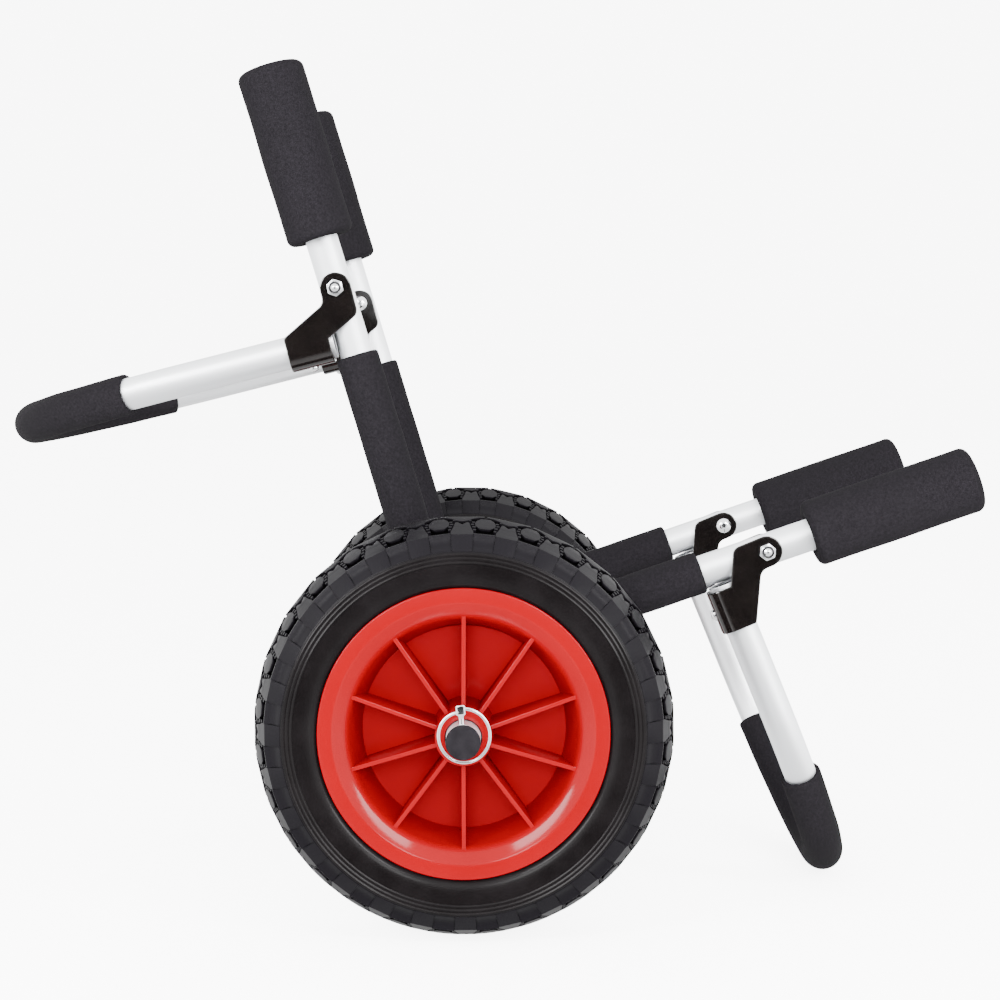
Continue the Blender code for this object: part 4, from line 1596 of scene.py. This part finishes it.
@dataclass(frozen=True)
class Block:
    """A tread block, given by the right half of its outline in a flat plan.

    Its corners are (degrees round the tyre, millimetres from the middle plane, rounding in metres). Lines are
    distances from the middle plane, in millimetres, at which it is cut across so that it can follow the crown.
    """

    half: Corners
    lines: Sequence[float]
    skirt: float
    edge: float = 0.0003

    def outline(self) -> Corners:
        """The half and its mirror image as one outline, with corners on the middle line once."""
        other = [(-x, y, r) for x, y, r in self.half]
        return list(dict.fromkeys([*other[:1], *self.half, *other[:0:-1]]))

    def build(self, degree: float) -> Shape:
        """Model the block with its top at Z = 0.

        Args:
            degree: Length of a degree round the tyre, in metres.

        Returns:
            The block, with its rim softened and its lower points marked for the painted groove shade.
        """
        points = rounded([(x * degree, y / 1000, r) for x, y, r in self.outline()], fineness=3)
        bm = bmesh.new()
        bm.faces.new([bm.verts.new((x, y, 0)) for x, y in points])
        for line in self.lines:
            bmesh.ops.bisect_plane(bm, geom=whole(bm), plane_co=(0, line / 1000, 0), plane_no=(0, 1, 0))
        bmesh.ops.recalc_face_normals(bm, faces=bm.faces)
        if bm.faces[:][0].normal.z < 0:
            bmesh.ops.reverse_faces(bm, faces=bm.faces)
        rim = [e for e in bm.edges if e.is_boundary]
        for v in points_of(bmesh.ops.extrude_edge_only(bm, edges=rim)["geom"]):
            v.co.z -= self.skirt
        bevel(bm, rim, self.edge)
        bmesh.ops.holes_fill(bm, edges=[e for e in bm.edges if e.is_boundary])
        # The lower points take the painted groove shade
        mark(bm, "groove_shade", lambda co: 1.0 if co.z < -self.skirt / 2 else 0.0)
        return bm


@dataclass
class Tyre:
    """Foam-filled tyre: a turned carcass with moulded rings, and tread blocks standing on it."""

    layout: Layout
    radius: float = 0.1307
    crown_slope: float = 0.473
    crown_round: float = 0.012
    shoulder: float = 0.0293
    foot: float = 0.0376
    foot_radius: float = 0.1112
    bead: Sequence[Pair] = (
        (0.0691, 0.007), (0.0767, 0.0326), (0.0895, 0.0326), (0.0896, 0.0345), (0.0902, 0.0355),
        (0.0912, 0.0364), (0.0925, 0.0371), (0.0940, 0.0376), (0.0958, 0.0380), (0.0980, 0.03825),
        (0.1005, 0.0384), (0.1036, 0.0385),
    )
    ring_radii: Triple = (0.1046, 0.1072, 0.1096)
    ring_bump: Sequence[Pair] = (
        (-0.0009, 0.0382), (-0.0004, 0.0385), (0, 0.0387), (0.0004, 0.0385), (0.0009, 0.0382),
    )
    below_blocks: Sequence[Pair] = ((0.1108, 0.0375), (0.1114, 0.0372))
    depth: float = 0.0026
    depth_at_foot: float = 0.25
    floor_inset: float = 0.0008
    floor_ease: float = 0.006
    floor_rows: int = 24
    tread_start: float = 0.110
    tread_blend: float = 0.002
    groove_shade_blend: float = 0.001
    pitches: int = 28
    phase: float = math.radians(6.9)
    steps: int = 224
    ridge: Sequence[Pair] = (
        (27.8, -0.5), (28.2, 0.0), (28.7, 0.4), (29.4, 0.65), (30.2, 0.35), (31.1, -0.5), (32.2, -1.15),
        (33.8, -1.2), (35.2, -0.7), (36.4, -0.35), (37.3, -0.3),
    )
    ridge_reach: float = 0.001
    short_lug: Block = Block(
        ((3.12, 27.9, 0.0004), (3.12, 37.2, 0.0001)), tuple(line for line, _ in ridge[1:-1]), 0.0026
    )
    long_lug: Block = Block((
        (3.22, 37.3, 0.0001), (3.22, 26.0, 0.0006), (2.45, 20.5, 0.0006), (2.05, 15.9, 0.0006),
        (1.8, 13.9, 0.0003), (1.2, 14.2, 0.0003), (0, 17.0, 0.0004),
    ), (29.3, 25.0, 21.0, 17.6), 0.0026)
    hexagon: Block = Block((
        (1.3, 22.3, 0.0006), (2.75, 18.8, 0.0005), (2.95, 15.6, 0.0004), (2.65, 12.4, 0.0005),
        (1.35, 7.8, 0.0006),
    ), (19.0, 15.6, 11.0), 0.0028)
    diamond: Block = Block((
        (0, 12.6, 0.0005), (1.6, 11.2, 0.0005), (4.3, 5.4, 0.0006), (5.95, 4.4, 0.0003),
        (5.95, -4.4, 0.0003), (4.3, -5.4, 0.0006), (1.6, -11.2, 0.0005), (0, -12.6, 0.0005),
    ), (9.0, 4.5, 0.0, -4.5, -9.0), 0.0028)
    studs: Sequence[Triple] = (
        (3.1, 19.6, 2.2), (3.55, 16.4, 2.0), (3.3, 13.2, 2.0), (4.25, 10.6, 1.6), (2.9, 23.2, 1.8),
    )
    stud_width: float = 0.0015
    stud_sink: float = 0.0002

    def crown(self, across: float) -> float:
        """The tread's outer surface.

        Args:
            across: Distance from the middle plane.

        Returns:
            The surface's radius there.
        """
        d = abs(across)
        if d <= self.shoulder:
            return self.radius - self.crown_slope * (math.hypot(d, self.crown_round) - self.crown_round)
        edge = self.crown(self.shoulder)
        return edge + (self.foot_radius - edge) * (d - self.shoulder) / (self.foot - self.shoulder)

    def outward(self, across: float) -> Pair:
        """The direction that the surface faces.

        Args:
            across: Distance from the middle plane.

        Returns:
            The direction as (across, radial).
        """
        step = 0.0004
        rise = (self.crown(across + step) - self.crown(across - step)) / (2 * step)
        length = math.hypot(rise, 1)
        return -rise / length, 1 / length

    def wrap(self, co: Vector) -> Vector:
        """Move a point of the flat tread plan onto the tyre.

        Args:
            co: The point as (round, across, height).

        Returns:
            Its place in the wheel.
        """
        angle = co.x / self.radius
        lean, up = self.outward(co.y)
        r = self.crown(co.y) + up * co.z
        return Vector((r * math.cos(angle), r * math.sin(angle), co.y + lean * co.z))

    def carcass(self) -> Shape:
        """The turned body below the blocks, with its moulded rings.

        Returns:
            The body, marked where it is tread and where its groove floor takes the painted groove shade.
        """
        half = list(self.bead)
        half += [(middle + out, across) for middle in self.ring_radii for out, across in self.ring_bump]
        half += self.below_blocks
        start = self.foot - self.floor_inset
        for i in range(self.floor_rows + 1):
            across = start - start * i / self.floor_rows
            share = min(1.0, (self.foot - across) / self.floor_ease)
            lean, up = self.outward(across)
            drop = self.depth * (self.depth_at_foot + (1 - self.depth_at_foot) * share)
            half.append((self.crown(across) - up * drop, across - lean * drop))
        half[-1] = (half[-1][0], 0.0)
        bm = turned(half + [(r, -h) for r, h in reversed(half[:-1])], self.steps)

        def past(co: Vector, radius: float, blend: float) -> float:
            """How far a point lies past a radius, as a share of a blend."""
            return min(1.0, max(0.0, (math.hypot(co.x, co.y) - radius) / blend))

        mark(bm, "tread", lambda co: past(co, self.tread_start, self.tread_blend))
        # Past the blocks' foot the groove floor takes the painted groove shade
        mark(bm, "groove_shade", lambda co: past(co, self.foot_radius, self.groove_shade_blend))
        return bm

    def ridged(self, co: Vector) -> Vector:
        """Lift a point of the short lug's top to its rounded ridge, or lower it to the hollow below that.

        Args:
            co: The point.

        Returns:
            Its new place.
        """
        if co.z <= -self.ridge_reach:
            return co
        ridge = self.ridge
        d = min(max(co.y * 1000, ridge[0][0]), ridge[-1][0])
        after = next(i for i, (limit, _) in enumerate(ridge) if limit >= d and i)
        (low, first), (high, last) = ridge[after - 1], ridge[after]
        lift = first + (last - first) * (d - low) / (high - low)
        return Vector((co.x, co.y, co.z + lift / 1000))

    def tread(self) -> Shape:
        """All of the tread's blocks and small ties, wrapped round the tyre.

        Returns:
            The blocks.
        """
        degree = math.radians(1) * self.radius
        studs = bmesh.new()
        height = -self.depth / 2 - self.stud_sink
        for turn, across, long in self.studs:
            for hand in (1, -1):
                spot = shift(hand * math.radians(turn) * self.radius, across / 1000, height)
                size = Matrix.Diagonal((long / 1000, self.stud_width, self.depth, 1))
                bmesh.ops.create_cube(studs, size=1, matrix=spot @ size)
        ahead = shift(math.radians(180.0 / self.pitches) * self.radius, 0, 0)
        lug = reshape(self.short_lug.build(degree), self.ridged)
        outer = join(lug, self.hexagon.build(degree), studs, place(self.long_lug.build(degree), ahead))
        mirror = outer.copy()
        bmesh.ops.scale(mirror, vec=(1, -1, 1), verts=mirror.verts)
        bmesh.ops.reverse_faces(mirror, faces=mirror.faces)
        sector = reshape(join(outer, mirror, place(self.diamond.build(degree), ahead)), self.wrap)
        place(sector, Matrix.Rotation(self.phase, 4, "Z"))
        repeat_round(sector, self.pitches)
        mark(sector, "tread", lambda co: 1.0)
        return sector

    def build(self, side: Side) -> None:
        """Make the tyre on one side.

        Args:
            side: The side of the cart.
        """
        word = side.word
        tyre = join(self.carcass(), self.tread())
        where = self.layout.wheel_place(side)
        piece(f"{word}_tyre", tyre, where, RUBBER, f"{word}_wheel", f"tyre_{word}", sharp=25.0)


# Studio

@dataclass(frozen=True)
class Softbox:
    """A rectangular soft light that faces the cart; its roll is in its own plane."""

    name: str
    spot: Triple
    size: Pair
    watts: float
    roll: float = 0.0
    mirrored: bool = True

    def build(self, target: Vector) -> None:
        """Add the light.

        Args:
            target: The point that it faces.
        """
        data = bpy.data.lights.new(self.name, "AREA")
        data.shape = "RECTANGLE"
        data.size, data.size_y = self.size
        data.energy = self.watts
        made = add_object(self.name, data)
        made.visible_glossy = self.mirrored
        made.location = self.spot
        aim = (target - Vector(self.spot)).to_track_quat("-Z", "Y").to_matrix()
        made.rotation_euler = (aim @ Matrix.Rotation(math.radians(self.roll), 3, "Z")).to_euler()


@dataclass
class Studio:
    """Pale floor, soft light and the photograph's camera."""

    layout: Layout
    eye: Triple = (0.01645, -1.4993, 0.21085)
    pitch: float = math.radians(86.92)
    yaw: float = math.radians(-0.25)
    lens: float = 76.34
    sensor: float = 36.0
    clip_end: float = 50.0
    floor_half: float = 12.0
    floor_tone: Triple = (0.90, 0.90, 0.90)
    floor_other_tone: Triple = (0.88, 0.88, 0.885)
    floor_glow: float = 6.0
    bounce_share: float = 0.2
    backdrop: float = 8.5
    room_light: float = 3.7
    back_light: float = 0.5
    top_light: float = 3.2
    low_light: float = 1.8
    front_shade: float = 0.04
    front_band: Pair = (-0.985, -0.84)
    back_band: Pair = (0.2, 0.8)
    beside_band: Pair = (0.12, 0.5)
    top_band: Pair = (0.45, 0.9)
    low_band: Pair = (-0.15, -0.5)
    light_target: Triple = (0, 0, 0.25)
    lights: Sequence[Softbox] = (
        Softbox("left_light", (-1.35, -1.58, 1.16), (1.35, 0.42), 62.0, roll=42.0),
        Softbox("right_light", (1.35, -1.58, 1.16), (1.35, 0.42), 56.0, roll=-42.0),
        Softbox("left_key", (-0.60, -2.10, 0.95), (0.5, 0.5), 16.0),
        Softbox("right_key", (0.60, -2.10, 0.95), (0.5, 0.5), 14.0),
        Softbox("front_fill", (0.0, -3.20, 0.60), (1.6, 1.6), 320.0, mirrored=False),
    )

    def camera(self) -> None:
        """Add the camera, placed from the axle's middle."""
        data = bpy.data.cameras.new("camera")
        data.lens = self.lens
        data.sensor_width = self.sensor
        data.clip_end = self.clip_end
        made = add_object("camera", data)
        made.location = self.layout.axle + Vector(self.eye)
        made.rotation_euler = (self.pitch, 0, self.yaw)
        bpy.context.scene.camera = made

    def floor(self) -> None:
        """Add a wide pale floor that looks bright to the camera and lights the cart only a little."""
        bm = bmesh.new()
        bmesh.ops.create_grid(bm, x_segments=1, y_segments=1, size=self.floor_half)
        mesh = as_mesh("floor", bm)
        paper = Paper("floor_paper")
        drift = paper.use(
            TONE_DRIFT, Tone=rgba(self.floor_tone), Other_Tone=rgba(self.floor_other_tone), Scale=2.0,
            Speckle_Scale=300.0, Speckle=0.1, Roughness_Low=0.85, Roughness_High=0.95,
        )
        rays = paper.wires.node("ShaderNodeLightPath", {}).outputs
        bounced = paper.wires.math("MULTIPLY", rays["Is Diffuse Ray"], self.bounce_share)
        seen = paper.wires.math("ADD", rays["Is Camera Ray"], bounced)
        paper.set(
            Base_Color=drift["Colour"], Roughness=drift["Roughness"],
            Emission_Strength=paper.wires.math("MULTIPLY", seen, self.floor_glow),
        )
        mesh.materials.append(paper.material)
        made = add_object("floor", mesh)
        made.visible_glossy = False

    def world(self) -> None:
        """Add white surroundings, dimmer behind the camera, so that gloss black stays black."""
        made = bpy.data.worlds.new("studio")
        bpy.context.scene.world = made
        made.use_nodes = True
        wires, back = Wires(made.node_tree), made.node_tree.nodes["Background"]
        direction = {"Vector": wires.add("ShaderNodeTexCoord", {}, "Generated")}
        split = wires.node("ShaderNodeSeparateXYZ", direction).outputs
        beside = wires.band(wires.math("ABSOLUTE", split["X"]), *self.beside_band)
        rear = wires.spread(beside, self.back_light, self.room_light)
        around = wires.spread(wires.band(split["Y"], *self.back_band), self.room_light, rear)
        around = wires.spread(wires.band(split["Z"], *self.top_band), around, self.top_light)
        around = wires.spread(wires.band(split["Z"], *self.low_band), around, self.low_light)
        shade = wires.spread(wires.band(split["Y"], *self.front_band), self.front_shade, around)
        seen = wires.add("ShaderNodeLightPath", {}, "Is Camera Ray")
        light = wires.math("MAXIMUM", shade, wires.math("MULTIPLY", seen, self.backdrop))
        wires.feed(light, back.inputs["Strength"])
        wires.feed((1.0, 1.0, 1.0, 1.0), back.inputs["Color"])

    def build(self) -> None:
        """Set up the whole studio."""
        self.camera()
        self.floor()
        self.world()
        for light in self.lights:
            light.build(Vector(self.light_target))


def main() -> None:
    """Build the studio and every piece of the cart, in order."""
    logging.basicConfig(level=logging.INFO, format="%(name)s: %(message)s")
    layout = Layout()
    Studio(layout).build()
    tubing = Tubing()
    upright = Arm(
        "upright", tubing, layout, layout.axle, layout.upright_axis, layout.left_pivot, start=0.0,
        grip_start=0.0333, grip_length=0.1142, sleeve_short={Side.NEAR: 0.0443, Side.FAR: 0.048},
    )
    cradle = Arm(
        "cradle", tubing, layout, layout.cradle_foot, layout.cradle_axis, layout.right_pivot,
        start=layout.cradle_start, grip_start=0.0308, grip_length=0.1132,
        sleeve_short={Side.NEAR: 0.0436, Side.FAR: 0.0436},
    )
    for side in Side:
        upright.build(side)
        cradle.build(side)
    AxleSet(tubing, layout).build()
    for leg, bare_angles in ((Leg.LEFT_LEG, (18.2, 22.0)), (Leg.RIGHT_LEG, (22.0, 22.0))):
        hoop = HoopLeg(leg, tubing, layout, bare_angles)
        hoop.build()
        bracket = Bracket(hoop)
        for side in Side:
            bracket.build(side)
    bolt = PivotBolt()
    for side in Side:
        for leg, pivot, nut_turn in (
            (Leg.LEFT_LEG, layout.left_pivot, 12.0), (Leg.RIGHT_LEG, layout.right_pivot, -8.0),
        ):
            turn = Matrix.Rotation(math.radians(nut_turn), 4, "Z")
            bolt.build(leg, side, facing(pivot, side, layout.arm_y) @ turn)
    rim, tyre = Rim(layout), Tyre(layout)
    for side in Side:
        rim.build(side)
        tyre.build(side)


if __name__ == "__main__":
    main()
